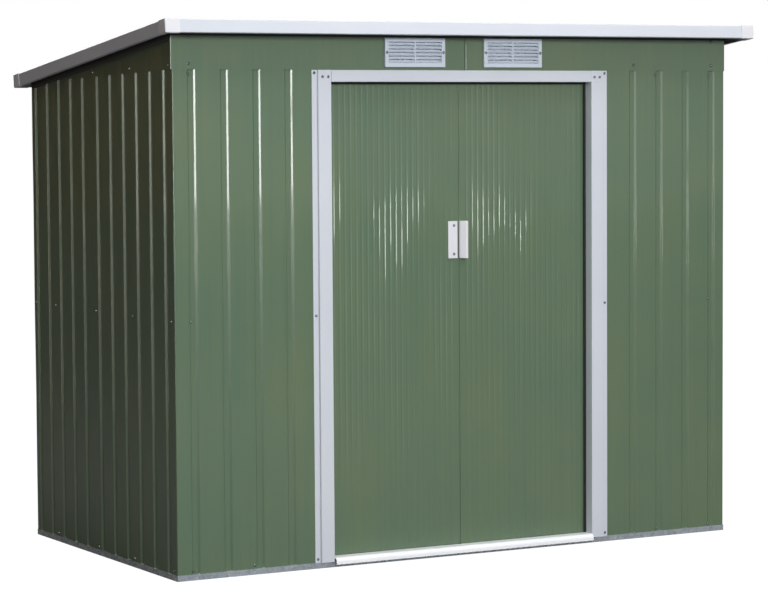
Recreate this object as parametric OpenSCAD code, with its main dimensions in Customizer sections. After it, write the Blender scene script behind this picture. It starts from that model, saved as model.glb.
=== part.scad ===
// Metal storage shed: pent roof, ribbed sheet walls, two sliding doors.
// Millimetres, +Z up, front faces -Y. Origin: centre of the roof outline, on the ground.

/* [Overall] */
// roof width over the corner caps
roof_w = 2130; // [1700:10:2700]
// roof depth over the corner caps, measured level
roof_d = 1220; // [1000:10:1700]
// overall height, to the top of the front corner caps
total_h = 1685; // [1400:5:2200]
// roof fall from front to back
roof_slope = 6.9; // [4:0.1:9]
// roof overhang past the front wall
over_front = 88; // [60:1:140]
// roof overhang past the back wall
over_back = 13; // [13:1:80]
// roof overhang past each side wall
over_side = 60; // [30:1:120]

/* [Sheet walls] */
// thickness of every painted sheet
sheet_t = 1; // [0.6:0.1:1.4]
// spacing of the grooves on the left front panel
pitch_left = 108.5; // [80:0.5:120]
// spacing of the grooves on the right front panel
pitch_right = 104.5; // [80:0.5:120]
// spacing of the grooves on the side walls, front sheet
pitch_side_a = 101; // [80:1:120]
// spacing of the grooves on the side walls, back sheet
pitch_side_b = 99; // [80:1:120]
// spacing of the grooves on the back wall
pitch_back = 108; // [80:1:120]
// width of a groove at its mouth
groove_w = 28; // [16:1:36]
// width of the bottom of a groove
groove_flat = 16; // [8:1:20]
// depth of a groove
groove_d = 6; // [4:0.5:8]
// left front corner to the middle of the first groove
edge_left = 62; // [50:1:80]
// right front corner to the middle of the first groove
edge_right = 50; // [48:1:80]
// front corner of a side wall to the first groove
edge_side = 59; // [50:1:80]
// last groove of the front side sheet to the seam
edge_seam = 57; // [40:1:70]
// seam of a side wall to the next groove
seam_edge = 62; // [40:1:80]
// corner or seam of the back wall to the next groove
edge_back = 62; // [50:1:80]
// grooves on each front panel
front_grooves = 4; // [3:1:5]
// grooves on the front sheet of each side wall
side_grooves_a = 6; // [4:1:7]
// grooves on the back sheet of each side wall
side_grooves_b = 5; // [4:1:7]
// sheets along the back wall
back_sheets = 3; // [3:1:3]
// overlap of two neighbouring sheets
lap = 14; // [10:1:18]
// open joint seen where two sheets meet
seam_gap = 1.5; // [0.5:0.5:3]
// inward fold at the upright edges of the side walls
corner_fold = 30; // [20:1:34]

/* [Base rails] */
// height of the bare metal rail under the wall sheets
rail_h = 18; // [12:1:30]
// metal thickness of rails and tracks
rail_t = 1.5; // [1:0.1:2]
// height of the upstand behind the wall sheets
rail_up = 30; // [20:1:40]
// width of the rail foot
rail_foot = 70; // [60:1:90]

/* [Front header] */
// overall top down to the underside of the painted header boards
head_drop = 149; // [140:1:190]
// how far the header boards reach past the wall corner
board_over = 4; // [2:1:8]
// place of the joint between the two boards, right of the middle
board_seam = 8; // [-40:1:40]
// lap of boards and gable plates over the wall sheets
head_lap = 11; // [8:1:16]
// fall of the lower edge of a gable plate, front to back
plate_fall = 23; // [0:1:30]

/* [Door opening] */
// clear width between the jambs
open_w = 950; // [800:10:1100]
// height of the white head of the door frame
head_h = 37; // [24:1:50]
// width of the raised face of a jamb
jamb_face = 46; // [36:1:70]
// width of the screwed lip beside the raised face
jamb_lip = 18; // [12:1:24]
// how far the jamb stands out from the wall
jamb_out = 10; // [6:1:26]
// metal thickness of the door frame
jamb_t = 1.5; // [1:0.1:2]
// lower edge of the sill's front
sill_low = 10; // [6:1:14]
// top of the sill
sill_h = 31; // [26:1:50]
// how far the sill stands out from the wall
sill_out = 20; // [16:1:40]

/* [Doors] */
// door face behind the wall face
door_back = 34; // [30:1:50]
// hidden overlap of a door behind its jamb
door_lap = 20; // [12:1:30]
// open line between the two closed doors
door_gap = 5; // [5:0.5:8]
// depth of a door across its edge channels
door_deep = 20; // [16:1:26]
// spacing of the fine door ribs
rib_pitch = 20; // [16:1:26]
// depth of a fine door rib
rib_d = 3; // [2:0.5:4]
// width of the plain strip at each door edge
door_edge = 16; // [12:1:24]
// height of the edge channels at the door top and bottom
door_rail = 40; // [30:1:60]
// gap under a door, above the ground
door_under = 28; // [26:1:40]
// gap of the hangers on their track lips
seat_gap = 0.3; // [0.2:0.1:0.8]

/* [Handles] */
// middle of the handles above the ground
handle_z = 1002; // [800:1:1200]
// height of a handle
handle_h = 118; // [80:1:160]
// width of the flat plate
plate_w = 34; // [20:1:40]
// thickness of the flat plate
plate_t = 4; // [3:0.5:6]
// width of the channel pull
pull_w = 30; // [26:1:44]
// how far the channel pull stands out
pull_out = 24; // [14:1:28]
// strip of door between the flat plate and the meeting edge
plate_in = 3.5; // [2:0.5:12]
// reach of the channel pull over the meeting line
pull_over = 3; // [0:0.5:3]

/* [Vents] */
// width of a louvre vent
vent_w = 215; // [150:1:260]
// height of a louvre vent
vent_h = 91; // [70:1:98]
// middle of a vent from the middle of the shed
vent_x = 178.5; // [150:0.5:300]
// underside of a vent above the header boards' lower edge
vent_up = 9; // [4:1:12]
// border of a vent
vent_rim = 13; // [8:1:18]
// how far a vent stands out
vent_out = 9; // [6:1:14]
// slats in a vent
vent_slats = 6; // [4:1:7]

/* [Roof] */
// height of the roof trims
trim_h = 40; // [36:1:60]
// metal thickness of the roof trims
trim_t = 1.2; // [0.8:0.1:2]
// lower lip of a roof trim
trim_lip = 14; // [8:1:20]
// lower lip of the back trim, which stops short of the wall
trim_back_lip = 4; // [3:0.5:5]
// upper lip of a roof trim
trim_top = 22; // [16:1:30]
// wall of a corner cap
cap_t = 1.8; // [1.2:0.1:2.5]
// length of each leg of a corner cap
cap_leg = 48; // [30:1:60]
// sheets across the roof
roof_sheets = 3; // [3:1:3]
// spacing of the roof ribs
roof_pitch = 118; // [90:1:150]
// height of a roof rib
roof_rib = 6; // [4:0.5:8]
// depth of the roof beam
beam_h = 40; // [30:1:50]
// width of the roof beam
beam_w = 30; // [20:1:40]

/* [Inner rails] */
// middle of the mid-height rails above the ground
mid_z = 783; // [600:1:1000]
// height of a mid-height rail
mid_h = 34; // [24:1:50]
// depth of a mid-height rail
mid_d = 18; // [12:1:26]

/* [Hidden] */

eps = 0.01;
fit = 0.3;                                   // clearance between trims and sheets
green = "#66796a";
white = "#d3d8e2";
zinc = "#9aa5ad";
pale = "#a5b0bd";

// wall planes
wx = roof_w / 2 - over_side;                 // outer face of a side wall
yf = -roof_d / 2 + over_front;               // outer face of the front wall
yb = roof_d / 2 - over_back;                 // outer face of the back wall
wall_w = 2 * wx;
wall_d = yb - yf;

// the roof has its own frame: y down the slope, z square to it
ca = cos(roof_slope);
sa = sin(roof_slope);
ta = tan(roof_slope);
cap_h = trim_h + fit + cap_t;                // from the trim's lower edge to a cap's top
roof_y0 = -roof_d / 2 + cap_t * sa;
roof_z0 = total_h - cap_h * ca;
roof_len = (roof_d - (cap_h + cap_t) * sa) / ca;
cap_side = cap_t + 0.2;                      // trims start this far in from a cap's face
rib_z = trim_h - trim_t - fit;               // top of the roof ribs
deck_z = rib_z - roof_rib - sheet_t;         // underside of the roof sheets
// height of the roof sheets' underside over a point y on the ground
function deck(y) = roof_z0 + deck_z / ca - (y - roof_y0) * ta;

// pieces of the front
board_z = total_h - head_drop;               // underside of the header boards
in_x = open_w / 2;
out_x = in_x + jamb_face + jamb_lip;
head_z = board_z - head_h;                   // underside of the door head
wall_top = board_z + head_lap;
door_y = yf + door_back;
door_in = -door_gap / 2;                     // meeting edge, left door
door_w = in_x + door_lap - door_gap / 2;

// upper track
track_z = head_z + 34;                       // top face of the track lips
slot = 12;
track_in = 29;
track_up = 20;
stem = 6;
head_w = 22;
door_top = track_z - 14;
track_y = door_y + door_deep / 2;

module slope() translate([0, roof_y0, roof_z0]) rotate([-roof_slope, 0, 0]) children();

// outline of a ribbed sheet in plan, outer face on y = 0, recess towards +y; c = groove middles
function sheet_pts(a, b, c, w, fl, d, t) = let (
    outer = [for (m = c) for (p = [[m - w / 2, 0], [m - fl / 2, d], [m + fl / 2, d], [m + w / 2, 0]]) p],
    n = len(outer)) concat([[a, 0]], outer, [[b, 0], [b, t]],
        [for (i = [0:n - 1]) [outer[n - 1 - i][0], outer[n - 1 - i][1] + t]], [[a, t]]);
// wall sheet with groove middles c, for the front wall
function wall_pts(a, b, c) = sheet_pts(a, b, c, groove_w, groove_flat, groove_d, sheet_t);
// the same turned for a left side wall and for the back wall, with the points the right way round
function side_pts(a, b, c) = let (q = wall_pts(a, b, c), n = len(q)) [for (i = [1:n]) [q[n - i][1], q[n - i][0]]];
function back_pts(a, b, c) = let (q = wall_pts(a, b, c), n = len(q)) [for (i = [1:n]) [q[n - i][0], -q[n - i][1]]];
// square block with corners p and q
module block(p, q) translate(p) cube([q[0] - p[0], q[1] - p[1], q[2] - p[2]]);
// grooves from a start at a pitch
function row(start, n, pitch) = [for (i = [0:n - 1]) start + i * pitch];

// section of a base rail: x = out of the wall is negative, y = height
module rail_section(foot) polygon([[-rail_lip, 0], [foot, 0], [foot, rail_t], [rail_t - rail_lip, rail_t],
    [rail_t - rail_lip, rail_h - rail_t], [rail_in, rail_h - rail_t], [rail_in, rail_h + rail_up],
    [rail_in - rail_t, rail_h + rail_up], [rail_in - rail_t, rail_h], [-rail_lip, rail_h]]);
rail_lip = 1;                                // the rail stands this far out of the wall
rail_in = groove_d + sheet_t + rail_t;       // inner face of a rail's upstand
foot_front = door_back + door_deep + 16;
// keeps what lies inside a 45 degree mitre at both ends of a front or back rail
module mitre_long(y0, dir) translate([0, 0, -1]) linear_extrude(200)
    polygon([[-wx - 2 * rail_lip, y0 - dir * 2 * rail_lip], [wx + 2 * rail_lip, y0 - dir * 2 * rail_lip],
        [wx - 100, y0 + dir * 100], [-wx + 100, y0 + dir * 100]]);

/* ---- base rails ---- */
// front rail with the lower door track on its foot; its upstand stops at the doorway
module base_rail_front() color(zinc) {
    difference() {
        intersection() {
            translate([-wx - rail_lip, yf, 0]) rotate([90, 0, 90]) linear_extrude(2 * (wx + rail_lip)) rail_section(foot_front);
            mitre_long(yf, 1);
        }
        block([-in_x - 12, yf + 2, rail_h], [in_x + 12, yf + rail_in + 1, rail_h + rail_up + 1]);
    }
    for (s = [-1, 1]) translate([0, track_y + s * (slot / 2 + 4), 0]) block(
        [-wx + rail_foot + 2, -rail_t / 2, rail_t - eps], [wx - rail_foot - 2, rail_t / 2, rail_h - 2]);
}
module base_rail_back() color(zinc) intersection() {
    translate([wx + rail_lip, yb, 0]) rotate([90, 0, -90]) linear_extrude(2 * (wx + rail_lip)) rail_section(rail_foot);
    mitre_long(yb, -1);
}
module base_rail_left() color(zinc) intersection() {
    translate([-wx, yb + rail_lip, 0]) rotate([90, 0, 0]) linear_extrude(wall_d + 2 * rail_lip) rail_section(rail_foot);
    translate([0, 0, -1]) linear_extrude(200) polygon([[-wx - 2 * rail_lip, yf - 2 * rail_lip],
        [-wx + 100, yf + 100], [-wx + 100, yb - 100], [-wx - 2 * rail_lip, yb + 2 * rail_lip]]);
}
module base_rail_right() color(zinc) mirror([1, 0, 0]) base_rail_left();

/* ---- sill ---- */
module door_sill() color(white)
    translate([-in_x + 1, yf, 0]) rotate([90, 0, 90]) linear_extrude(open_w - 2)
        polygon([[-sill_out, sill_low], [-sill_out + 2, sill_low], [-sill_out + 2, sill_h - 9.5], [-sill_out + 8, sill_h - 2],
            [2, sill_h - 2], [2, rail_h], [4, rail_h], [4, sill_h - 2],
            [door_back - 6, sill_h - 2], [door_back - 6, sill_h], [-sill_out + 7, sill_h], [-sill_out, sill_h - 9]]);

/* ---- front wall ---- */
module front_panel(edge, pitch) color(green)
    translate([0, yf, rail_h]) linear_extrude(wall_top - rail_h)
        polygon(wall_pts(-wx, -in_x - 8, row(-wx + edge, front_grooves, pitch)));
module front_panel_left() front_panel(edge_left, pitch_left);
module front_panel_right() mirror([1, 0, 0]) front_panel(edge_right, pitch_right);

module header_board(a, b, sign) {
    top = deck(yf) - 0.2;
    difference() {
        union() {
            block([a, yf - sheet_t, board_z], [b, yf, top]);
            // fold round the corner
            block([sign > 0 ? b - sheet_t : a, yf - eps, board_z], [sign > 0 ? b : a + sheet_t, yf + 12, deck(yf + 12) - 0.2]);
        }
        translate([sign * vent_x, 0, board_z + vent_up + vent_h / 2])
            cube([vent_w - 2 * vent_rim, 40 + 2 * abs(yf), vent_h - 2 * vent_rim], center = true);
    }
}
module header_board_left() color(green) header_board(-wx - board_over, board_seam - seam_gap, -1);
module header_board_right() color(green) header_board(board_seam, wx + board_over, 1);

/* ---- side walls ---- */
seam_y = yf + edge_side + (side_grooves_a - 1) * pitch_side_a + edge_seam;
// everything under the sloping top of the side sheets
module side_cut() {
    translate([-wx - 20, 0, 0]) rotate([90, 0, 90]) linear_extrude(200)
        polygon([[yf - 10, rail_h], [yb + 10, rail_h], [yb + 10, plate_low(yb + 10) + head_lap],
            [yf - 10, plate_low(yf - 10) + head_lap]]);
}
function plate_low(y) = board_z - (y - yf) * plate_fall / wall_d;

module side_sheet_left_front() color(green) intersection() {
    translate([-wx, 0, 0]) linear_extrude(total_h) union() {
        polygon(side_pts(yf + sheet_t, seam_y, row(yf + edge_side, side_grooves_a, pitch_side_a)));
        translate([0, yf + sheet_t]) square([corner_fold, sheet_t]);
    }
    side_cut();
}
module side_sheet_left_back() color(green) intersection() {
    translate([-wx, 0, 0]) linear_extrude(total_h) union() {
        polygon(side_pts(seam_y + seam_gap, yb - sheet_t,
            row(seam_y + seam_edge, side_grooves_b, pitch_side_b)));
        translate([0, yb - 2 * sheet_t]) square([corner_fold, sheet_t]);
        translate([sheet_t, seam_y - lap]) square([sheet_t, 2 * lap]);
        translate([sheet_t / 2, seam_y + seam_gap]) square([1.5 * sheet_t, lap - seam_gap]);
    }
    side_cut();
}
module side_sheet_right_front() color(green) mirror([1, 0, 0]) side_sheet_left_front();
module side_sheet_right_back() color(green) mirror([1, 0, 0]) side_sheet_left_back();

/* ---- back wall ---- */
back_w = wall_w / back_sheets;
back_top = deck(yb) - 4;
back_n = floor((back_w - 2 * edge_back + 20) / pitch_back) + 1;
back_pitch = (back_w - 2 * edge_back) / (back_n - 1);
// sheet number i, counted from the left end
module back_sheet(i) color(green) translate([0, yb, rail_h]) linear_extrude(back_top - rail_h) union() {
    a = -wx + i * back_w;
    polygon(back_pts(a + (i > 0 ? seam_gap : 0), a + back_w, row(a + edge_back, back_n, back_pitch)));
    if (i > 0) translate([a - lap, -2 * sheet_t]) square([2 * lap, sheet_t]);
    if (i > 0) translate([a + seam_gap, -2 * sheet_t]) square([lap - seam_gap, 1.5 * sheet_t]);
}
module back_sheet_left() back_sheet(0);
module back_sheet_middle() back_sheet(1);
module back_sheet_right() back_sheet(2);

/* ---- gable plates, tapering to the back, with a fold under the roof ---- */
module gable_plate_left() color(green) {
    y0 = yf + fit;
    y1 = yb + 1;
    translate([-wx - sheet_t, 0, 0]) rotate([90, 0, 90]) linear_extrude(sheet_t) polygon([[y0, plate_low(y0)],
        [y1, plate_low(y1)], [y1, deck(y1) - 0.2], [y0, deck(y0) - 0.2]]);
    translate([-wx - eps, 0, 0]) rotate([90, 0, 90]) linear_extrude(20) polygon([[y0 + 30, deck(y0 + 30) - 0.2 - sheet_t],
        [y1 - 30, deck(y1 - 30) - 0.2 - sheet_t], [y1 - 30, deck(y1 - 30) - 0.2], [y0 + 30, deck(y0 + 30) - 0.2]]);
}
module gable_plate_right() color(green) mirror([1, 0, 0]) gable_plate_left();

/* ---- upper door track: an inverted channel with two inward lips, hung from a plate ---- */
module door_track_top() color(zinc) {
    yp = yf + rail_in - rail_t;
    len = 2 * (wx - corner_fold + 6);
    top = track_z + track_up;
    ya = track_y - track_in / 2;
    yb2 = track_y + track_in / 2;
    translate([-len / 2, 0, 0]) rotate([90, 0, 90]) linear_extrude(len) union() {
        translate([yp, board_z + 1]) square([rail_t, deck(yf + 12) - 12 - board_z]);
        translate([yp, top - rail_t]) square([yb2 - yp, rail_t]);
        for (s = [-1, 1]) translate([track_y + s * (track_in - rail_t) / 2 - rail_t / 2, track_z - rail_t])
            square([rail_t, top - track_z + rail_t]);
        translate([ya, track_z - rail_t]) square([(track_in - slot) / 2, rail_t]);
        translate([yb2 - (track_in - slot) / 2, track_z - rail_t]) square([(track_in - slot) / 2, rail_t]);
    }
}

/* ---- rails inside the walls ---- */
module back_top_rail() color(zinc) {
    translate([-wx + corner_fold - 6, yb - rail_in + rail_t, 0]) rotate([90, 0, 90])
        linear_extrude(wall_w - 2 * corner_fold + 12) polygon([[0, back_top - 40], [0, back_top], [-30, back_top],
            [-30, back_top - rail_t], [-rail_t, back_top - rail_t], [-rail_t, back_top - 40]]);
}
// channel section, open to the room
module mid_section() polygon([[0, -mid_h / 2], [mid_d, -mid_h / 2], [mid_d, -mid_h / 2 + rail_t],
    [rail_t, -mid_h / 2 + rail_t], [rail_t, mid_h / 2 - rail_t], [mid_d, mid_h / 2 - rail_t],
    [mid_d, mid_h / 2], [0, mid_h / 2]]);
module mid_rail_left() color(zinc)
    translate([-wx + rail_in - rail_t, yb - rail_in - mid_d - 1, mid_z]) rotate([90, 0, 0])
        linear_extrude(wall_d - 2 * rail_in - mid_d - 1 - door_back - door_deep) mid_section();
module mid_rail_right() color(zinc) mirror([1, 0, 0]) mid_rail_left();
module mid_rail_back() color(zinc)
    translate([wx - rail_in, yb - rail_in + rail_t, mid_z]) rotate([90, 0, -90])
        linear_extrude(wall_w - 2 * rail_in) mid_section();

/* ---- roof ---- */
beam_y = (yf + yb) / 2;
module roof_beam() color(zinc) slope()
    translate([-wx + 0.5, (beam_y - roof_y0) / ca, deck_z - sheet_t - 0.5]) rotate([90, 0, 90]) linear_extrude(2 * wx - 1)
        polygon([[0, 0], [beam_w, 0], [beam_w, -rail_t], [rail_t, -rail_t], [rail_t, -beam_h + rail_t],
            [beam_w, -beam_h + rail_t], [beam_w, -beam_h], [0, -beam_h]]);

trim_x = roof_w / 2 - cap_side;              // outer face of a side trim
sheet_x = trim_x - trim_t - fit;             // side edge of the roof sheets
roof_y1 = cap_side + trim_t + fit;
roof_y2 = roof_len - cap_side - trim_t - fit;
roof_sw = 2 * sheet_x / roof_sheets;
roof_n = floor((roof_sw - 70) / roof_pitch) + 1;
roof_pitch_r = (roof_sw - 100) / (roof_n - 1);
// sheet number i, ribs upward
module roof_sheet(i) color(green) slope() translate([0, roof_y2, deck_z]) rotate([90, 0, 0])
    linear_extrude(roof_y2 - roof_y1) union() {
        a = -sheet_x + i * roof_sw;
        polygon(sheet_pts(a + (i > 0 ? seam_gap : 0), a + roof_sw, row(a + 50, roof_n, roof_pitch_r), groove_w,
            groove_flat, roof_rib, sheet_t));
        if (i > 0) translate([a - lap, sheet_t]) square([2 * lap, sheet_t]);
        if (i > 0) translate([a + seam_gap, sheet_t / 2]) square([lap - seam_gap, 1.5 * sheet_t]);
    }
module roof_sheet_left() roof_sheet(0);
module roof_sheet_middle() roof_sheet(1);
module roof_sheet_right() roof_sheet(2);

// trim section: outer face on x = 0, lips towards +x
module trim_section(lip) polygon([[0, 0], [lip, 0], [lip, trim_t], [trim_t, trim_t], [trim_t, trim_h - trim_t],
    [trim_top, trim_h - trim_t], [trim_top, trim_h], [0, trim_h]]);
module roof_trim_front() color(white) slope() translate([-trim_x + trim_top + 1, cap_side, 0]) rotate([90, 0, 90])
    linear_extrude(2 * (trim_x - trim_top - 1)) trim_section(trim_lip);
module roof_trim_back() color(white) slope() translate([trim_x - trim_top - 1, roof_len - cap_side, 0]) rotate([90, 0, -90])
    linear_extrude(2 * (trim_x - trim_top - 1)) trim_section(trim_back_lip);
module roof_trim_left() color(white) slope() translate([-trim_x, roof_len - cap_side, 0]) rotate([90, 0, 0])
    linear_extrude(roof_len - 2 * cap_side) trim_section(trim_lip);
module roof_trim_right() color(white) mirror([1, 0, 0]) roof_trim_left();

// corner cap: two outer walls and a top, over the trims
module cap_left(y0, back) color(white) slope() {
    x0 = -roof_w / 2;
    difference() {
        block([x0, y0, -cap_t], [x0 + cap_leg, y0 + cap_leg, cap_h]);
        block([x0 + cap_t, y0 + (back ? -1 : cap_t), -0.2], [x0 + cap_leg + 1, y0 + (back ? cap_leg - cap_t : cap_leg + 1), cap_h - cap_t]);
        block([x0 + 14, y0 + (back ? -1 : 14), -cap_t - 1], [x0 + cap_leg + 1, y0 + (back ? cap_leg - 14 : cap_leg + 1), cap_h - cap_t]);
    }
}
module corner_cap_front_left() cap_left(0, false);
module corner_cap_front_right() mirror([1, 0, 0]) cap_left(0, false);
module corner_cap_back_left() cap_left(roof_len - cap_leg, true);
module corner_cap_back_right() mirror([1, 0, 0]) cap_left(roof_len - cap_leg, true);

/* ---- door frame ---- */
// plan of the left jamb: screwed lip, raised face, return into the opening
module jamb_plan() {
    x0 = -out_x;
    x1 = -in_x - jamb_face;
    x2 = -in_x;
    polygon([[x0, 0], [x0, -jamb_t], [x1, -jamb_t], [x1, -jamb_out], [x2, -jamb_out], [x2, door_back - 8],
        [x2 - jamb_t, door_back - 8], [x2 - jamb_t, -jamb_out + jamb_t], [x1 + jamb_t, -jamb_out + jamb_t],
        [x1 + jamb_t, 0]]);
}
module door_jamb_left() color(white) translate([0, yf, rail_h]) linear_extrude(head_z - rail_h + head_h - 0.2) jamb_plan();
module door_jamb_right() color(white) mirror([1, 0, 0]) door_jamb_left();
module door_frame_head() color(white) translate([-in_x + fit / 2, yf, 0]) rotate([90, 0, 90]) linear_extrude(open_w - fit)
    polygon([[-jamb_out, head_z], [door_back - 8, head_z], [door_back - 8, head_z + jamb_t], [-jamb_out + jamb_t, head_z + jamb_t],
        [-jamb_out + jamb_t, head_z + head_h - 0.2 - jamb_t], [-sheet_t, head_z + head_h - 0.2 - jamb_t],
        [-sheet_t, head_z + head_h - 0.2], [-jamb_out, head_z + head_h - 0.2]]);

/* ---- sliding doors ---- */
// the left leaf: ribbed skin, edge channels, two hangers over the track lips, two guides below
module leaf_left() {
    x1 = door_in;
    x0 = door_in - door_w;
    n = floor((door_w - 2 * door_edge) / rib_pitch);
    start = x0 + (door_w - (n - 1) * rib_pitch) / 2;
    translate([0, door_y, door_under]) linear_extrude(door_top - door_under)
        polygon(sheet_pts(x0, x1, row(start, n, rib_pitch), 9, 4, rib_d, sheet_t));
    // edge channels behind the skin
    for (x = [x0, x1 - 12]) block([x, door_y + sheet_t - eps, door_under], [x + 12, door_y + door_deep, door_top]);
    for (z = [door_under, door_top - door_rail]) block([x0 + 6, door_y + rib_d + sheet_t - eps, z],
        [x1 - 6, door_y + door_deep, z + door_rail]);
    for (x = [x0 + 70, x1 - 70 - 40]) {
        // hanger: stem and a head that rides on the lips
        block([x, track_y - stem / 2, door_top - 2], [x + 40, track_y + stem / 2, track_z + seat_gap + 3]);
        block([x, track_y - head_w / 2, track_z + seat_gap], [x + 40, track_y + head_w / 2, track_z + seat_gap + 9]);
        // guide in the lower track
        block([x, track_y - 3.5, rail_t + 4], [x + 40, track_y + 3.5, door_under + 2]);
    }
}
module door_left() color(green) leaf_left();
module door_right() color(green) mirror([1, 0, 0]) leaf_left();

/* ---- handles ---- */
module handle_plate() color(white)
    translate([door_in - plate_in - plate_w, door_y - plate_t, handle_z - handle_h / 2]) cube([plate_w, plate_t, handle_h]);
// raised channel with a screwed foot on its far side
module handle_pull() color(white) translate([-door_in - pull_over, door_y, handle_z - handle_h / 2])
    linear_extrude(handle_h) polygon([[0, 0], [0, -pull_out], [pull_w - 8, -pull_out], [pull_w - 8, -2.5], [pull_w, -2.5],
        [pull_w, 0], [pull_w - 10.5, 0], [pull_w - 10.5, -pull_out + 2.5], [2.5, -pull_out + 2.5], [2.5, 0]]);

/* ---- vents ---- */
module vent(x) color(pale) translate([x, yf - sheet_t, board_z + vent_up]) {
    difference() {
        block([-vent_w / 2, -vent_out, 0], [vent_w / 2, 0, vent_h]);
        block([-vent_w / 2 + vent_rim, -vent_out - 1, vent_rim], [vent_w / 2 - vent_rim, 1, vent_h - vent_rim]);
    }
    block([-2.5, -vent_out, vent_rim - eps], [2.5, 0, vent_h - vent_rim + eps]);
    step = (vent_h - 2 * vent_rim) / vent_slats;
    for (i = [0:vent_slats - 1]) translate([-vent_w / 2 + vent_rim - eps, 0, vent_rim + i * step]) rotate([90, 0, 90])
        linear_extrude(vent_w - 2 * vent_rim + 2 * eps)
            polygon([[-vent_out, 1], [-vent_out + 1.6, 1], [-0.5, step * 0.85], [-2.1, step * 0.85]]);
}
module vent_left() vent(-vent_x);
module vent_right() vent(vent_x);

/* ---- the parts ---- */
base_rail_front();
base_rail_back();
base_rail_left();
base_rail_right();
door_sill();
front_panel_left();
front_panel_right();
header_board_left();
header_board_right();
side_sheet_left_front();
side_sheet_left_back();
side_sheet_right_front();
side_sheet_right_back();
back_sheet_left();
back_sheet_middle();
back_sheet_right();
gable_plate_left();
gable_plate_right();
door_track_top();
back_top_rail();
mid_rail_left();
mid_rail_right();
mid_rail_back();
roof_beam();
roof_sheet_left();
roof_sheet_middle();
roof_sheet_right();
roof_trim_front();
roof_trim_back();
roof_trim_left();
roof_trim_right();
corner_cap_front_left();
corner_cap_front_right();
corner_cap_back_left();
corner_cap_back_right();
door_jamb_left();
door_jamb_right();
door_frame_head();
door_left();
door_right();
handle_plate();
handle_pull();
vent_left();
vent_right();
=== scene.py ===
"""Metal storage shed: a pent roof on ribbed walls of painted steel sheet, with two sliding doors."""
import math

import bmesh
import bpy
from mathutils import Matrix, Vector


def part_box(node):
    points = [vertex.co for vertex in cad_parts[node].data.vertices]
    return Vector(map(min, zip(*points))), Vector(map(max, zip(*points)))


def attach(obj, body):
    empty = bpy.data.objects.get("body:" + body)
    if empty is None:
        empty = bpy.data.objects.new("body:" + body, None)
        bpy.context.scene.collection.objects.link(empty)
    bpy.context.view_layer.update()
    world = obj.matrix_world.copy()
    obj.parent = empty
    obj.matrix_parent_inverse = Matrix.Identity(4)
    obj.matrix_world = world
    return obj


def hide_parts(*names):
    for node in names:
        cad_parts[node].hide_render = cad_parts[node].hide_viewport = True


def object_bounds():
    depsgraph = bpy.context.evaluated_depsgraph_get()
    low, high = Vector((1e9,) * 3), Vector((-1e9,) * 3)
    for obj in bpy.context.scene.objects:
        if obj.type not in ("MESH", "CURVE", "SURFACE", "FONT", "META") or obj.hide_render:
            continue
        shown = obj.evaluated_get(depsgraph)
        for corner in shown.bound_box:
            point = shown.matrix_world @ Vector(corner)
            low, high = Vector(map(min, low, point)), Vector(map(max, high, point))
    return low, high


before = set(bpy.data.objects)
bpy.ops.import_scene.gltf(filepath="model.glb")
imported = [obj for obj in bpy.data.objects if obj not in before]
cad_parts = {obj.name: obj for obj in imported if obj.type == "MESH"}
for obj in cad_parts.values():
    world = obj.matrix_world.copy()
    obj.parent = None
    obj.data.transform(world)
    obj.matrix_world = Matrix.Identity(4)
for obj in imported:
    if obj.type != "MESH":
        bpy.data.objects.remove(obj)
cad_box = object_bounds()

# ---- Base rails -----------------------------------------------------------------------------------
# Channels roll-formed from hot-dip galvanised steel and left bare. They lie on the ground and are
# screwed to the wall sheets; the front one also carries the two low ribs that guide the doors.
RAILS = ("base_rail_front", "base_rail_back", "base_rail_left", "base_rail_right")
SPANGLE = 0.011        # metres across one zinc crystal
MATH = "ShaderNodeMath"


def linear(code):
    """sRGB hex to the linear colour that a shader takes."""
    parts = [int(code[i:i + 2], 16) / 255 for i in (1, 3, 5)]
    return (*[p / 12.92 if p <= 0.04045 else ((p + 0.055) / 1.055) ** 2.4 for p in parts], 1.0)


def live(node):
    """A node's first output that its settings leave in use."""
    return next(s for s in node.outputs if s.enabled)


def add(tree, kind, inputs=(), **settings):
    """Adds a node. Inputs are values, sockets or nodes, in order or by the socket's name or identifier."""
    node = tree.nodes.new(kind)
    for name, value in settings.items():
        setattr(node, name, value)
    used = [s for s in node.inputs if s.enabled]
    pairs = inputs.items() if isinstance(inputs, dict) else enumerate(inputs)
    for key, value in pairs:
        socket = used[key] if isinstance(key, int) else next(s for s in used if key in (s.identifier, s.name))
        if isinstance(value, bpy.types.Node):
            value = live(value)
        if isinstance(value, bpy.types.NodeSocket):
            tree.links.new(value, socket)
        else:
            socket.default_value = value
    return node


def new_material(name, **values):
    """A material with one Principled shader, whose even values are set on its own sockets."""
    made = bpy.data.materials.new(name)
    made.use_nodes = True
    shader = made.node_tree.nodes["Principled BSDF"]
    for socket, value in values.items():
        shader.inputs[socket.replace("_", " ").title().replace("Ior", "IOR")].default_value = value
    return made, made.node_tree, shader


def wire(tree, shader, tone, rough, relief):
    """Links a material's colour, roughness and relief to its shader."""
    for node, socket in ((tone, "Base Color"), (rough, "Roughness"), (relief, "Normal")):
        tree.links.new(live(node), shader.inputs[socket])


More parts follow.
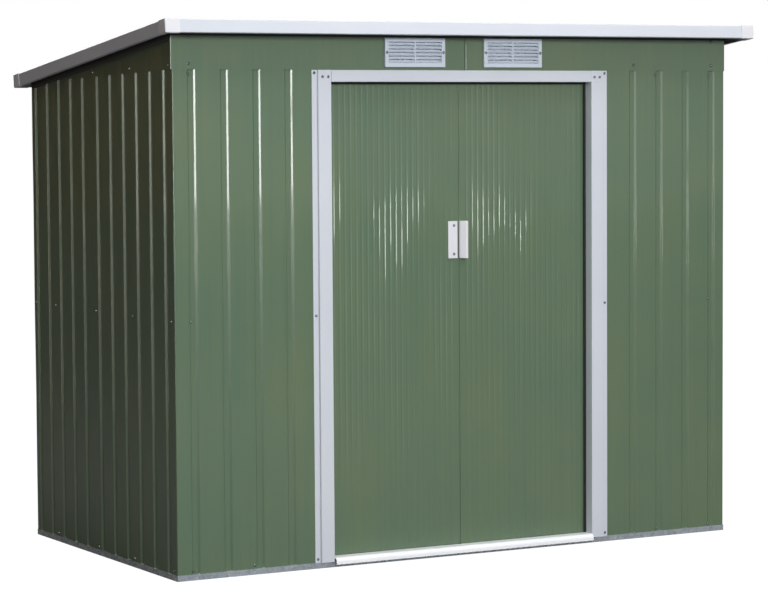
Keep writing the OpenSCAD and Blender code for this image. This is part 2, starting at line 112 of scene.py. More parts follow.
def galvanised(name, dark, light, crystal, roughness, metallic):
    """Zinc dip: a cold grey metal whose crystals each mirror the light a little differently."""
    made, tree, shader = new_material(name, Metallic=metallic)
    place = add(tree, "ShaderNodeTexCoord").outputs["Object"]
    flake = add(tree, "ShaderNodeTexVoronoi", {"Vector": place, "Scale": 1 / crystal, "Randomness": 1.0})
    cloud = add(tree, "ShaderNodeTexNoise", {"Vector": place, "Scale": 1 / (14 * crystal), "Detail": 3.0})
    shade = add(tree, "ShaderNodeSeparateColor", {"Color": flake.outputs["Color"]})
    blend = add(tree, MATH, {0: shade.outputs["Red"], 1: 0.55}, operation="MULTIPLY")
    total = add(tree, MATH, {0: cloud, 1: 0.45, 2: blend}, operation="MULTIPLY_ADD")
    tone = add(tree, "ShaderNodeMix", {"Factor": total, "A": linear(dark), "B": linear(light)},
               data_type="RGBA")
    rough = add(tree, "ShaderNodeMapRange", {"Value": shade.outputs["Green"], "To Min": roughness,
                                             "To Max": roughness + 0.16})
    relief = add(tree, "ShaderNodeBump", {"Strength": 0.06, "Distance": 0.0003,
                                          "Height": flake.outputs["Distance"]})
    wire(tree, shader, tone, rough, relief)
    return made


# hot-dip galvanised steel: pale blue grey, soft mirror, crystals of about a centimetre
ZINC = galvanised("hot_dip_galvanised_steel", "#bcc8d6", "#e4ebf3", SPANGLE, 0.22, 0.8)


def dress(node, material):
    """Gives a CAD piece whose shape is right its finish."""
    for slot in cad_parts[node].material_slots:
        slot.material = material


for rail in RAILS:
    dress(rail, ZINC)

# ---- Door sill ------------------------------------------------------------------------------------
# White enamelled steel, folded to a nose that stands in front of the base rail, so that a barrow
# rolls over the door guides. It sits over the front rail.
WALL_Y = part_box("front_panel_left")[0].y       # outer face of the front wall
RAIL_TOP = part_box("front_panel_left")[0].z


def rounded(line, radius, steps=4):
    """The points of a folded line with each corner turned into a bend."""
    points = [Vector((*p, 0)) for p in line]
    out = [points[0]]
    for before, corner, after in zip(points, points[1:], points[2:]):
        reach = min(radius, 0.48 * (before - corner).length, 0.48 * (after - corner).length)
        start = corner + (before - corner).normalized() * reach
        end = corner + (after - corner).normalized() * reach
        for i in range(steps + 1):
            t = i / steps
            out.append(start * (1 - t) ** 2 + corner * 2 * t * (1 - t) + end * t ** 2)
    return out + [points[-1]]


def axes(x, y, at):
    """A place: where a piece's own x and y point, and where its origin goes."""
    x, y = Vector(x), Vector(y)
    z = x.cross(y)
    return Matrix([[x[i], y[i], z[i], at[i]] for i in range(3)] + [[0, 0, 0, 1]])


def new_piece(name):
    """An empty object at the origin, in the scene."""
    obj = bpy.data.objects.new(name, bpy.data.meshes.new(name))
    bpy.context.scene.collection.objects.link(obj)
    return obj


def modify(obj, kind, **settings):
    """Adds a modifier with its settings."""
    step = obj.modifiers.new(kind.lower(), kind)
    for name, value in settings.items():
        setattr(step, name, value)


def cast(name, made, *materials):
    """A new piece from a finished bmesh."""
    obj = new_piece(name)
    made.to_mesh(obj.data)
    made.free()
    for material in materials:
        obj.data.materials.append(material)
    return obj


ROUND_UNDER = math.radians(35)      # faces that meet at less than this shade as one bend


def settle(obj, place=Matrix()):
    """Applies a piece's modifiers and its place; bends shade round and flats stay flat."""
    for step in ("shape", "shading"):
        if step == "shading":
            obj.data.shade_smooth()
            obj.data.set_sharp_from_angle(angle=ROUND_UNDER)
            modify(obj, "WEIGHTED_NORMAL", keep_sharp=True)
        graph = bpy.context.evaluated_depsgraph_get()
        mesh = bpy.data.meshes.new_from_object(obj.evaluated_get(graph), preserve_all_data_layers=True,
                                               depsgraph=graph)
        obj.modifiers.clear()
        obj.data = mesh
    mesh.name = obj.name
    mesh.transform(place)
    mesh.update()
    return obj


def fix(obj, body, slot, *nodes):
    """Sets a finished piece on the body it rides on and hides the CAD pieces it stands for. The slot, its
    finish, is not used.
    """
    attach(obj, body)
    if nodes:
        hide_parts(*nodes)


ROW_STEP = 0.25        # rows of points along a folded strip


def folded(name, line, length, place, thickness, bend, material):
    """A folded strip: its line is swept along its own z, with the outside on the line's right."""
    rows = max(2, int(length / ROW_STEP) + 1)
    points = rounded(line, bend)
    made = bmesh.new()
    grid = [[made.verts.new((p.x, p.y, length * k / (rows - 1))) for p in points] for k in range(rows)]
    for low, high in zip(grid, grid[1:]):
        for i in range(len(points) - 1):
            made.faces.new((low[i], low[i + 1], high[i + 1], high[i]))
    obj = cast(name, made, material)
    modify(obj, "SOLIDIFY", thickness=thickness, offset=-1)
    return settle(obj, place)


STREAK, STREAK_LONG = 0.011, 0.8       # width and length of a faint line left by the coating roller
WAVE, WAVE_LONG = 0.07, 0.30           # the sheet's own slow waves, about a hand wide


def enamel(name, low, high, roughness, coat, wave, peel, streaks):
    """Baked enamel on rolled sheet: even colour, a soft gloss, and a sheet that is never quite flat."""
    made, tree, shader = new_material(name, IOR=1.5, Coat_Weight=coat, Coat_Roughness=0.06, Coat_IOR=1.5)
    place = add(tree, "ShaderNodeTexCoord").outputs["Object"]
    patch = add(tree, "ShaderNodeTexNoise", {"Vector": place, "Scale": 1 / 0.32, "Detail": 4.0,
                                             "Roughness": 0.55})
    line = add(tree, "ShaderNodeMapping", {"Vector": place,
                                           "Scale": (1 / STREAK, 1 / STREAK, 1 / STREAK_LONG)})
    lines = add(tree, "ShaderNodeTexNoise", {"Vector": line, "Scale": 1.0, "Detail": 2.0})
    mixed = add(tree, "ShaderNodeMix", {"Factor": streaks, "A": patch, "B": lines})
    spread = add(tree, "ShaderNodeMapRange", {"Value": mixed, "From Min": 0.34, "From Max": 0.66})
    tone = add(tree, "ShaderNodeMix", {"Factor": spread, "A": linear(low), "B": linear(high)},
               data_type="RGBA")
    handled = add(tree, "ShaderNodeTexNoise", {"Vector": place, "Scale": 1 / 0.045, "Detail": 5.0})
    rough = add(tree, "ShaderNodeMapRange", {"Value": handled, "From Min": 0.3, "From Max": 0.7,
                                             "To Min": roughness - 0.01, "To Max": roughness + 0.07})
    tall = add(tree, "ShaderNodeMapping", {"Vector": place, "Scale": (1 / WAVE, 1 / WAVE, 1 / WAVE_LONG)})
    waves = add(tree, "ShaderNodeTexNoise", {"Vector": tall, "Scale": 1.0, "Detail": 1.5})
    sheet = add(tree, "ShaderNodeBump", {"Strength": 1.0, "Distance": wave, "Height": waves})
    # sprayed skin; the real peel is under a millimetre, drawn coarser so that it shows
    skin = add(tree, "ShaderNodeTexNoise", {"Vector": place, "Scale": 1 / 0.004, "Detail": 2.0})
    relief = add(tree, "ShaderNodeBump", {"Strength": 1.0, "Distance": peel, "Height": skin,
                                          "Normal": sheet.outputs["Normal"]})
    wire(tree, shader, tone, rough, relief)
    tree.links.new(live(relief), shader.inputs["Coat Normal"])
    return made


# white baked enamel: a cool white with the same soft gloss as the walls
WHITE = enamel("white_baked_enamel", "#c5cad4", "#cacfd7", 0.36, 0.15, 0.0006, 0.00001, 0.05)

sill_low, sill_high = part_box("door_sill")
SILL_BEND, SILL_METAL = 0.009, 0.002       # size of the slope along the nose
# the sill has its own, whiter copy of the white enamel: painted light, standing in for the strong light from
# above on its top
SILL_WHITE_PAINTED_LIGHT = enamel("sill_white_enamel_painted_light", "#eceff4", "#f4f6f8", 0.33, 0.2, 0.0004, 0.00001, 0.05)
nose = [(sill_high.y, sill_high.z), (sill_low.y + SILL_BEND - SILL_METAL, sill_high.z),
        (sill_low.y, sill_high.z - SILL_BEND), (sill_low.y, sill_low.z)]
sill = folded("door_sill_nose", nose, sill_high.x - sill_low.x,
              axes((0, 1, 0), (0, 0, 1), (sill_low.x, 0, 0)), SILL_METAL, 0.004, SILL_WHITE_PAINTED_LIGHT)
fix(sill, "shed", "white_paint", "door_sill")

# ---- Front wall -----------------------------------------------------------------------------------
# Two sheets of thin steel, enamelled green on the coil and then pressed with upright grooves that
# stiffen them. They stand on the base rail and are screwed to it, the door frame and the header.
SHEET = 0.001          # metal thickness of every painted sheet
GROOVE = {"Mouth": 0.028, "Bottom": 0.016, "Depth": 0.006, "Bend radius": 0.0042}
EDGE_LEFT, PITCH_LEFT = 0.062, 0.1085      # corner to first groove, and groove to groove
EDGE_RIGHT, PITCH_RIGHT = 0.050, 0.1045
CORNER = 0.0034        # the front sheets turn this far round the wall corner
HEM = 0.004            # folded edge where a sheet ends

# green baked enamel: mid green, semi-gloss, over sheet with slow waves
GREEN = enamel("green_baked_enamel", "#566e59", "#617257", 0.29, 0.60, 0.0018, 0.000012, 0.38)

def new_tree(name, inputs, result):
    """A geometry tree and its input sockets. An input has a default value, or names its kind."""
    tree = bpy.data.node_groups.new(name, "GeometryNodeTree")
    for socket, value in inputs.items():
        kind = value if isinstance(value, str) else type(value).__name__.title()
        made = tree.interface.new_socket(socket, in_out="INPUT", socket_type=f"NodeSocket{kind}")
        if kind != value:
            made.default_value = value
    tree.interface.new_socket(result, in_out="OUTPUT", socket_type="NodeSocketGeometry")
    return tree, add(tree, "NodeGroupInput").outputs


def press_tree():
    """The press: lays out one sheet's section, rounds its bends and draws it up to a rippled sheet."""
    tree, size = new_tree("sheet press", {
        "Width": 0.5, "Height": 1.5, "First groove": 0.06, "Pitch": 0.1, "Mouth": 0.028, "Bottom": 0.016,
        "Depth": 0.006, "Bend radius": 0.003, "Corner radius": 0.003, "Start reach": 0.0, "Start depth": 0.0,
        "End reach": 0.0, "End depth": 0.0, "Top rise": 0.0, "Ripple": 0.0006, "Uneven depth": 0.0,
        "Column spacing": 0.02, "Row spacing": 0.05, "Grooves": 4, "Seed": 1, "Bend steps": 3,
        "Material": "Material"}, "Sheet")
    index = add(tree, "GeometryNodeInputIndex")

    # four bends to a groove, counted from 0 after the sheet's first two points
    bend = add(tree, MATH, (index, 2.0), operation="SUBTRACT")
    quarter = add(tree, MATH, (bend, 4.0), operation="DIVIDE")
    groove = add(tree, MATH, (quarter,), operation="FLOOR")
    turn = add(tree, MATH, (bend, 4.0), operation="FLOORED_MODULO")
    from_middle = add(tree, MATH, (turn, 1.5), operation="SUBTRACT")
    side = add(tree, MATH, (from_middle,), operation="SIGN")
    spread = add(tree, MATH, (from_middle,), operation="ABSOLUTE")
    inner = add(tree, MATH, (spread, 1.0), operation="LESS_THAN")
    width = add(tree, "ShaderNodeMix", {"Factor": inner, "A": size["Mouth"], "B": size["Bottom"]})
    half = add(tree, MATH, (width, 0.5), operation="MULTIPLY")
    offset = add(tree, MATH, (side, half), operation="MULTIPLY")
    middle = add(tree, MATH, (groove, size["Pitch"], size["First groove"]), operation="MULTIPLY_ADD")
    across = add(tree, MATH, (middle, offset), operation="ADD")
    deep = add(tree, MATH, (inner, size["Depth"]), operation="MULTIPLY")
    point = add(tree, "ShaderNodeCombineXYZ", (across, deep, 0.0))

    # the two points at each end: the wall's plane, and a fold or a lap beyond it
    bends = add(tree, MATH, (size["Grooves"], 4.0), operation="MULTIPLY")
    count = add(tree, MATH, (bends, 4.0), operation="ADD")
    last = add(tree, MATH, (count, 1.0), operation="SUBTRACT")
    past = add(tree, MATH, (size["Width"], size["End reach"]), operation="ADD")
    ends = ((0.0, add(tree, "ShaderNodeCombineXYZ", (size["Start reach"], size["Start depth"], 0.0))),
            (1.0, (0.0, 0.0, 0.0)),
            (add(tree, MATH, (last, 1.0), operation="SUBTRACT"),
             add(tree, "ShaderNodeCombineXYZ", (size["Width"],))),
            (last, add(tree, "ShaderNodeCombineXYZ", (past, size["End depth"], 0.0))))
    for number, spot in ends:
        here = add(tree, MATH, (index, number, 0.1), operation="COMPARE")
        point = add(tree, "GeometryNodeSwitch", {"Switch": here, "False": point, "True": spot},
                    input_type="VECTOR")
    edge = add(tree, MATH, (index, 1.5), operation="LESS_THAN")
    far = add(tree, MATH, (count, 2.5), operation="SUBTRACT")
    far_edge = add(tree, MATH, (index, far), operation="GREATER_THAN")
    corner = add(tree, MATH, (edge, far_edge), operation="MAXIMUM")
    radius = add(tree, "ShaderNodeMix", {"Factor": corner, "A": size["Bend radius"],
                                         "B": size["Corner radius"]})

    # the section as a curve, its bends rounded and its long flats cut into columns
    curve = add(tree, "GeometryNodeCurvePrimitiveLine")
    curve = add(tree, "GeometryNodeResampleCurve", {"Curve": curve, "Count": count}, mode="COUNT")
    curve = add(tree, "GeometryNodeSetPosition", {"Geometry": curve, "Position": point})
    curve = add(tree, "GeometryNodeFilletCurve", {"Curve": curve, "Radius": radius, "Limit Radius": True,
                                                  "Count": size["Bend steps"]}, mode="POLY")
    here = add(tree, "GeometryNodeInputPosition")
    number = add(tree, "GeometryNodeInputIndex")
    following = add(tree, MATH, (number, 1.0), operation="ADD")
    ahead = add(tree, "GeometryNodeFieldAtIndex", {"Value": here, "Index": following},
                data_type="FLOAT_VECTOR", domain="POINT")
    gap = add(tree, "ShaderNodeVectorMath", (here, ahead), operation="DISTANCE").outputs["Value"]
    cuts = add(tree, MATH, (gap, size["Column spacing"]), operation="DIVIDE")
    cuts = add(tree, MATH, (cuts, 12.0), operation="MINIMUM")
    curve = add(tree, "GeometryNodeSubdivideCurve", {"Curve": curve, "Cuts": cuts})

    # a grid takes the section's points as its columns
    columns = add(tree, "GeometryNodeAttributeDomainSize", {"Geometry": curve}, component="CURVE")
    columns = columns.outputs["Point Count"]
    rows = add(tree, MATH, (size["Height"], size["Row spacing"]), operation="DIVIDE")
    rows = add(tree, MATH, (rows,), operation="CEIL")
    rows = add(tree, MATH, (rows, 1.0), operation="ADD")
    sheet = add(tree, "GeometryNodeMeshGrid", {"Vertices X": columns, "Vertices Y": rows})
    vertex = add(tree, "GeometryNodeInputIndex")
    column = add(tree, MATH, (vertex, 0.5), operation="ADD")
    column = add(tree, MATH, (column, rows), operation="DIVIDE")
    column = add(tree, MATH, (column,), operation="FLOOR")
    row = add(tree, MATH, (vertex, rows), operation="FLOORED_MODULO")
    section = add(tree, "GeometryNodeSampleIndex", {"Geometry": curve, "Value": here, "Index": column},
                  data_type="FLOAT_VECTOR", domain="POINT")
    spot = add(tree, "ShaderNodeSeparateXYZ", (section,)).outputs
    steps = add(tree, MATH, (rows, 1.0), operation="SUBTRACT")
    share = add(tree, MATH, (row, steps), operation="DIVIDE")
    top = add(tree, MATH, (spot["X"], size["Top rise"], size["Height"]), operation="MULTIPLY_ADD")
    height = add(tree, MATH, (share, top), operation="MULTIPLY")

    # the flats between grooves buckle a little; the grooves hold still
    shifted = add(tree, MATH, (spot["X"], size["First groove"]), operation="SUBTRACT")
    phase = add(tree, MATH, (shifted, size["Pitch"]), operation="DIVIDE")
    swing = add(tree, MATH, (phase, math.pi), operation="MULTIPLY")
    swing = add(tree, MATH, (swing,), operation="SINE")
    loose = add(tree, MATH, (swing, 2.0), operation="POWER")
    along = add(tree, MATH, (spot["X"], 9.0), operation="MULTIPLY")
    up = add(tree, MATH, (height, 3.2), operation="MULTIPLY")
    stretch = add(tree, "ShaderNodeCombineXYZ", (along, size["Seed"], up))
    buckle = add(tree, "ShaderNodeTexNoise", {"Vector": stretch, "Scale": 1.0, "Detail": 1.0})
    buckle = add(tree, MATH, (buckle, 0.5), operation="SUBTRACT")
    buckle = add(tree, MATH, (buckle, loose), operation="MULTIPLY")
    buckle = add(tree, MATH, (buckle, size["Ripple"]), operation="MULTIPLY")
    # a worn press leaves its grooves deeper in some places than in others
    along = add(tree, MATH, (spot["X"], 6.5), operation="MULTIPLY")
    up = add(tree, MATH, (height, 2.2), operation="MULTIPLY")
    reach = add(tree, "ShaderNodeCombineXYZ", (along, size["Seed"], up))
    uneven = add(tree, "ShaderNodeTexNoise", {"Vector": reach, "Scale": 1.0, "Detail": 2.0})
    uneven = add(tree, MATH, (uneven, 0.5), operation="SUBTRACT")
    uneven = add(tree, MATH, (uneven, size["Uneven depth"], 1.0), operation="MULTIPLY_ADD")
    grooved = add(tree, MATH, (spot["Y"], uneven), operation="MULTIPLY")
    depth = add(tree, MATH, (buckle, 2.0, grooved), operation="MULTIPLY_ADD")
    place = add(tree, "ShaderNodeCombineXYZ", (spot["X"], depth, height))
    sheet = add(tree, "GeometryNodeSetPosition", {"Geometry": sheet, "Position": place})
    sheet = add(tree, "GeometryNodeMergeByDistance", {"Geometry": sheet, "Distance": 0.00002})
    sheet = add(tree, "GeometryNodeRealizeInstances", {"Geometry": sheet})
    sheet = add(tree, "GeometryNodeSetMaterial", {"Geometry": sheet, "Material": size["Material"]})
    add(tree, "NodeGroupOutput", {"Sheet": sheet})
    return tree


def feed(obj, tree, values):
    """Puts a node tree on a piece and sets its inputs by their identifiers."""
    press = obj.modifiers.new("make", "NODES")
    press.node_group = tree
    names = {item.name: item.identifier for item in tree.interface.items_tree if item.in_out == "INPUT"}
    for name, value in values.items():
        press[names[name]] = value


PRESS = press_tree()


def pressed(name, place, values):
    """One pressed sheet: its own x runs along the wall, y into the wall and z up."""
    obj = new_piece(name)
    feed(obj, PRESS, {"Material": GREEN, **GROOVE, **values})
    modify(obj, "SOLIDIFY", thickness=SHEET, offset=-1)
    return settle(obj, place)


panel_low, panel_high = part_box("front_panel_left")
panel_w = panel_high.x - panel_low.x
panel_h = panel_high.z - panel_low.z
WALL_X = -panel_low.x          # outer face of a side wall
panel = {"Width": panel_w, "Height": panel_h, "Grooves": 4}
left_front = pressed("front_sheet_left", axes((1, 0, 0), (0, 1, 0), panel_low), {
    **panel, "First groove": EDGE_LEFT, "Pitch": PITCH_LEFT, "Start depth": CORNER, "Seed": 3})
fix(left_front, "shed", "green_paint", "front_panel_left")
right_front = pressed("front_sheet_right", axes((1, 0, 0), (0, 1, 0), (WALL_X - panel_w, WALL_Y, RAIL_TOP)), {
    **panel, "First groove": panel_w - EDGE_RIGHT - 3 * PITCH_RIGHT, "Pitch": PITCH_RIGHT,
    "End depth": CORNER, "Seed": 11})
fix(right_front, "shed", "green_paint", "front_panel_right")

# ---- Side walls -----------------------------------------------------------------------------------
# Each side is two of the same pressed sheets, lapped at a seam just behind the middle and cut along
# the top to the fall of the roof. They are screwed to the base rail, the mid rail and the gable plate.
SIDE_EDGE, SIDE_PITCH_FRONT, SIDE_PITCH_BACK = 0.059, 0.101, 0.099
SEAM_BEFORE, SEAM_AFTER = 0.057, 0.062     # seam to the grooves on each side of it
LAP, LAP_DEEP = 0.014, SHEET * 1.3         # how far a sheet goes behind its neighbour, and how deep
SEAM = 0.0015          # open joint at a seam
HEAD_LAP = 0.011       # gable plates and header boards lap over the sheets by this
wall_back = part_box("back_sheet_left")[1].y
seam_y = WALL_Y + SIDE_EDGE + 5 * SIDE_PITCH_FRONT + SEAM_BEFORE
gable_low, gable_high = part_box("gable_plate_left")
header_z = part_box("header_board_left")[0].z
fall = (header_z - gable_low.z) / (gable_high.y - WALL_Y)


def side_top(y):
    """Height of a side sheet above the base rail, at y."""
    return header_z - (y - WALL_Y) * fall + HEAD_LAP - RAIL_TOP


HANDS = (("left", -1), ("right", 1))       # each side, and which way is outwards along x
front_y = WALL_Y + CORNER
for hand, out in HANDS:
    spans = {
        "front": (front_y, seam_y, SIDE_EDGE - CORNER, SIDE_PITCH_FRONT, 6),
        "back": (seam_y + SEAM, wall_back - SHEET, SEAM_AFTER - SEAM, SIDE_PITCH_BACK, 5),
    }
    for part, (y0, y1, first, pitch, grooves) in spans.items():
        # the sheet's own x starts at its left end, seen from outside
        start = y1 if out < 0 else y0
        if out < 0:
            first = (y1 - y0) - first - (grooves - 1) * pitch
        values = {"Width": y1 - y0, "Height": side_top(start), "First groove": first, "Pitch": pitch,
                  "Grooves": grooves, "Ripple": 0.0013, "Top rise": -out * fall,
                  "Seed": 20 + 3 * grooves + out}
        if part == "back":
            values["End reach" if out < 0 else "Start reach"] = -out * LAP
            values["End depth" if out < 0 else "Start depth"] = LAP_DEEP
        else:
            values["Start depth" if out < 0 else "End depth"] = HEM / 2
        sheet = pressed(f"side_sheet_{hand}_{part}_pressed",
                        axes((0, out, 0), (-out, 0, 0), (out * WALL_X, start, RAIL_TOP)), values)
        fix(sheet, "shed", "green_paint", f"side_sheet_{hand}_{part}")

# ---- Back wall ------------------------------------------------------------------------------------
# Three pressed sheets of one width, lapped and screwed at their seams, under the low eave.
BACK_EDGE = 0.062
back_low, back_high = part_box("back_sheet_left")
back_w = 2 * WALL_X / 3
back_n = int((back_w - 2 * BACK_EDGE + 0.020) / 0.108) + 1
for i, part in enumerate(("right", "middle", "left")):
    lapped = i < 2
    place = axes((-1, 0, 0), (0, -1, 0), (WALL_X - i * back_w, wall_back, RAIL_TOP))
    sheet = pressed(f"back_sheet_{part}_pressed", place, {
        "Width": back_w - (SEAM if lapped else 0), "Height": back_high.z - back_low.z,
        "First groove": BACK_EDGE, "Pitch": (back_w - 2 * BACK_EDGE) / (back_n - 1), "Grooves": back_n,
        "End reach": LAP if lapped else 0.0, "End depth": LAP_DEEP if lapped else CORNER,
        "Start depth": 0.0 if i else CORNER, "Seed": 41 + i})
    fix(sheet, "shed", "green_paint", f"back_sheet_{part}")

# ---- Inner rails and upper door track -------------------------------------------------------------
# Galvanised channels inside the shed: one at mid height on three walls, one under the back eave, the
# beam under the roof sheets, and the upper track whose two lips carry the doors' hangers.
for rail in ("mid_rail_left", "mid_rail_right", "mid_rail_back", "back_top_rail", "roof_beam",
             "door_track_top"):
    dress(rail, ZINC)

# ---- Header boards and gable plates ---------------------------------------------------------------
# Plain green sheets that close the wall above the doors and up to the sloping roof. The two header
# boards meet near the middle, wrap round the wall corners and are cut out behind the vents.
VENT_HOLE = 0.013      # border of a vent around its hole


def bar(made, low, high):
    """Adds a solid block between two corners."""
    low, high = Vector(low), Vector(high)
    cube = bmesh.ops.create_cube(made, size=1.0)["verts"]
    place = Matrix.Translation((low + high) / 2) @ Matrix.Diagonal((*(high - low), 1))
    bmesh.ops.transform(made, matrix=place, verts=cube)


for hand, out in HANDS:
    low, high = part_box(f"header_board_{hand}")
    board = pressed(f"header_board_{hand}_folded", axes((1, 0, 0), (0, 1, 0), low), {
        "Width": high.x - low.x, "Height": high.z - low.z - 0.0016, "Grooves": 0, "First groove": 0.0,
        "Pitch": 0.34, "Ripple": 0.0012, "Start depth": 0.012 if out < 0 else 0.006,
        "End depth": HEM if out < 0 else 0.012, "Corner radius": 0.0036, "Bend steps": 1,
        "Column spacing": 0.09, "Row spacing": 0.03, "Seed": 60 + out})
    vent_low, vent_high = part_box(f"vent_{hand}")
    cutter = bmesh.new()
    border = Vector((VENT_HOLE, -0.02, VENT_HOLE))
    bar(cutter, vent_low + border, vent_high - border)
    hole = cast("hole", cutter)
    modify(board, "BOOLEAN", object=hole, operation="DIFFERENCE", solver="EXACT")
    settle(board)
    bpy.data.objects.remove(hole)
    fix(board, "shed", "green_paint", f"header_board_{hand}")
for plate in ("gable_plate_left", "gable_plate_right"):
    dress(plate, GREEN)

# ---- Vents ----------------------------------------------------------------------------------------
# Louvre vents of grey-white polypropylene: a rim, six sloping blades and a rib down the middle. Each
# is held to the header board by a screw at each end.


def moulded(name, low, high, roughness, grain):
    """Moulded plastic or rubber: an even, slightly waxy colour over a fine spark grain."""
    made, tree, shader = new_material(name, IOR=1.49)
    place = add(tree, "ShaderNodeTexCoord").outputs["Object"]
    flow = add(tree, "ShaderNodeTexNoise", {"Vector": place, "Scale": 1 / 0.06, "Detail": 3.0})
    tone = add(tree, "ShaderNodeMix", {"Factor": flow, "A": linear(low), "B": linear(high)}, data_type="RGBA")
    # the real grain is a quarter of a millimetre, drawn coarser so that it shows
    spark = add(tree, "ShaderNodeTexNoise", {"Vector": place, "Scale": 1 / 0.0016, "Detail": 2.0})
    rough = add(tree, "ShaderNodeMapRange", {"Value": spark, "From Min": 0.3, "From Max": 0.7,
                                             "To Min": roughness - 0.04, "To Max": roughness + 0.05})
    relief = add(tree, "ShaderNodeBump", {"Strength": 1.0, "Distance": grain, "Height": spark})
    wire(tree, shader, tone, rough, relief)
    return made


# polypropylene, moulded: cool light grey, low gloss
VENT_GREY = moulded("moulded_grey_polypropylene", "#c4cddb", "#ccd5e1", 0.42, 0.00002)


def louvre_tree():
    """Blades one above another: each is a thin sloping strip with a rounded front lip."""
    tree, size = new_tree("louvre blades", {"Blade length": 0.09, "Blade depth": 0.0085, "Blade drop": 0.009,
                                            "Pitch": 0.011, "Blades": 6, "Material": "Material"}, "Louvre")
    # one blade's section, from its front lip back and up, as a gentle curve
    front = add(tree, "ShaderNodeCombineXYZ", (0.0, 0.0, 0.0))
    half_depth = add(tree, MATH, (size["Blade depth"], 0.62), operation="MULTIPLY")
    half_drop = add(tree, MATH, (size["Blade drop"], 0.38), operation="MULTIPLY")
    middle = add(tree, "ShaderNodeCombineXYZ", (0.0, half_depth, half_drop))
    back = add(tree, "ShaderNodeCombineXYZ", (0.0, size["Blade depth"], size["Blade drop"]))
    section = add(tree, "GeometryNodeCurveQuadraticBezier", {"Resolution": 5, "Start": front,
                                                             "Middle": middle, "End": back})
    long = add(tree, "ShaderNodeCombineXYZ", (size["Blade length"],))
    blade = add(tree, "GeometryNodeCurveToMesh", {"Curve": section})
    swept = add(tree, "GeometryNodeExtrudeMesh", {"Mesh": blade, "Offset": long, "Offset Scale": 1.0},
                mode="EDGES")
    face = swept.outputs["Mesh"]
    up = add(tree, "ShaderNodeCombineXYZ", (0.0, 0.0, size["Pitch"]))
    row = add(tree, "GeometryNodeMeshLine", {"Count": size["Blades"], "Offset": up})
    blades = add(tree, "GeometryNodeInstanceOnPoints", {"Points": row, "Instance": face})
    blades = add(tree, "GeometryNodeRealizeInstances", {"Geometry": blades})
    blades = add(tree, "GeometryNodeSetMaterial", {"Geometry": blades, "Material": size["Material"]})
    add(tree, "NodeGroupOutput", {"Louvre": blades})
    return tree


LOUVRE = louvre_tree()
BLADES, BLADE_THICK = 6, 0.0016
RIM_ROUND = 0.0011
RIB_BACK = 0.0016      # the middle rib stands this far behind the rim


def vent_rim(name, low, high, border, material):
    """A rectangular rim, and a rib down its middle that stands back from it."""
    made = bmesh.new()
    middle = (low.x + high.x) / 2
    bars = [((low.x, low.z), (high.x, low.z + border)), ((low.x, high.z - border), (high.x, high.z)),
            ((low.x, low.z + border), (low.x + border, high.z - border)),
            ((high.x - border, low.z + border), (high.x, high.z - border)),
            ((middle - 0.0026, low.z + border), (middle + 0.0026, high.z - border))]
    for (x0, z0), (x1, z1) in bars:
        front = low.y + (RIB_BACK if x1 - x0 < border / 2 else 0)
        bar(made, (x0, front, z0), (x1, high.y, z1))
    return cast(name, made, material)


for hand in ("left", "right"):
    low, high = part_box(f"vent_{hand}")
    rim = vent_rim(f"vent_{hand}_rim", low, high, VENT_HOLE, VENT_GREY)
    modify(rim, "BEVEL", width=RIM_ROUND, segments=3)
    settle(rim)
    fix(rim, "shed", "vent_plastic", f"vent_{hand}")
    hole_w = high.x - low.x - 2 * VENT_HOLE
    hole_h = high.z - low.z - 2 * VENT_HOLE
    blades = new_piece(f"vent_{hand}_blades")
    feed(blades, LOUVRE, {"Blade length": hole_w, "Blade depth": 0.0075, "Blade drop": 0.0070,
                          "Pitch": hole_h / BLADES, "Blades": BLADES, "Material": VENT_GREY})
    modify(blades, "SOLIDIFY", thickness=BLADE_THICK, offset=0)
    settle(blades, Matrix.Translation((low.x + VENT_HOLE, low.y + 0.0010, low.z + VENT_HOLE + 0.0012)))
    fix(blades, "shed", "vent_plastic")

# ---- Door frame -----------------------------------------------------------------------------------
# White enamelled steel: two jambs folded to a raised face with a flat lip that is screwed over the
# wall sheet, and a head that closes the top of the doorway. The corners are screwed.
JAMB_METAL, JAMB_BEND = 0.0015, 0.0028
JAMB_LIP, JAMB_OUT = 0.018, 0.010          # width of the lip, and how far the face stands out
for hand, out in HANDS:
    low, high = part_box(f"door_jamb_{hand}")
    outer, inner = (low.x, high.x) if out < 0 else (high.x, low.x)
    step = outer - out * JAMB_LIP
    line = [(outer, WALL_Y - JAMB_METAL), (step, WALL_Y - JAMB_METAL), (step, WALL_Y - JAMB_OUT),
            (inner, WALL_Y - JAMB_OUT), (inner, high.y)]
    jamb = folded(f"door_jamb_{hand}_folded", line[::-out], high.z - low.z, Matrix.Translation((0, 0, low.z)),
                  JAMB_METAL, JAMB_BEND, WHITE)
    fix(jamb, "shed", "white_paint", f"door_jamb_{hand}")
low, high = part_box("door_frame_head")
line = [(WALL_Y - SHEET, high.z), (low.y, high.z), (low.y, low.z), (high.y, low.z)]
head = folded("door_frame_head_folded", line, high.x - low.x,
              axes((0, 1, 0), (0, 0, 1), (low.x, 0, 0)), JAMB_METAL, JAMB_BEND, WHITE)
fix(head, "shed", "white_paint", "door_frame_head")

# ---- Door shade strip (painted shade) -------------------------------------------------------------
# A strip of black cellular rubber along the back edge of the jambs and the head, standing in for the shadow
# in the gap in front of the doors: painted shade. It closes most of that gap and shows as a thin dark line
# around them.


def blocks(name, boxes, edge, material):
    """Solid bars, each a low and a high corner, with their edges eased."""
    made = bmesh.new()
    for low, high in boxes:
        bar(made, low, high)
    obj = cast(name, made, material)
    modify(obj, "BEVEL", width=edge, segments=2)
    return settle(obj)


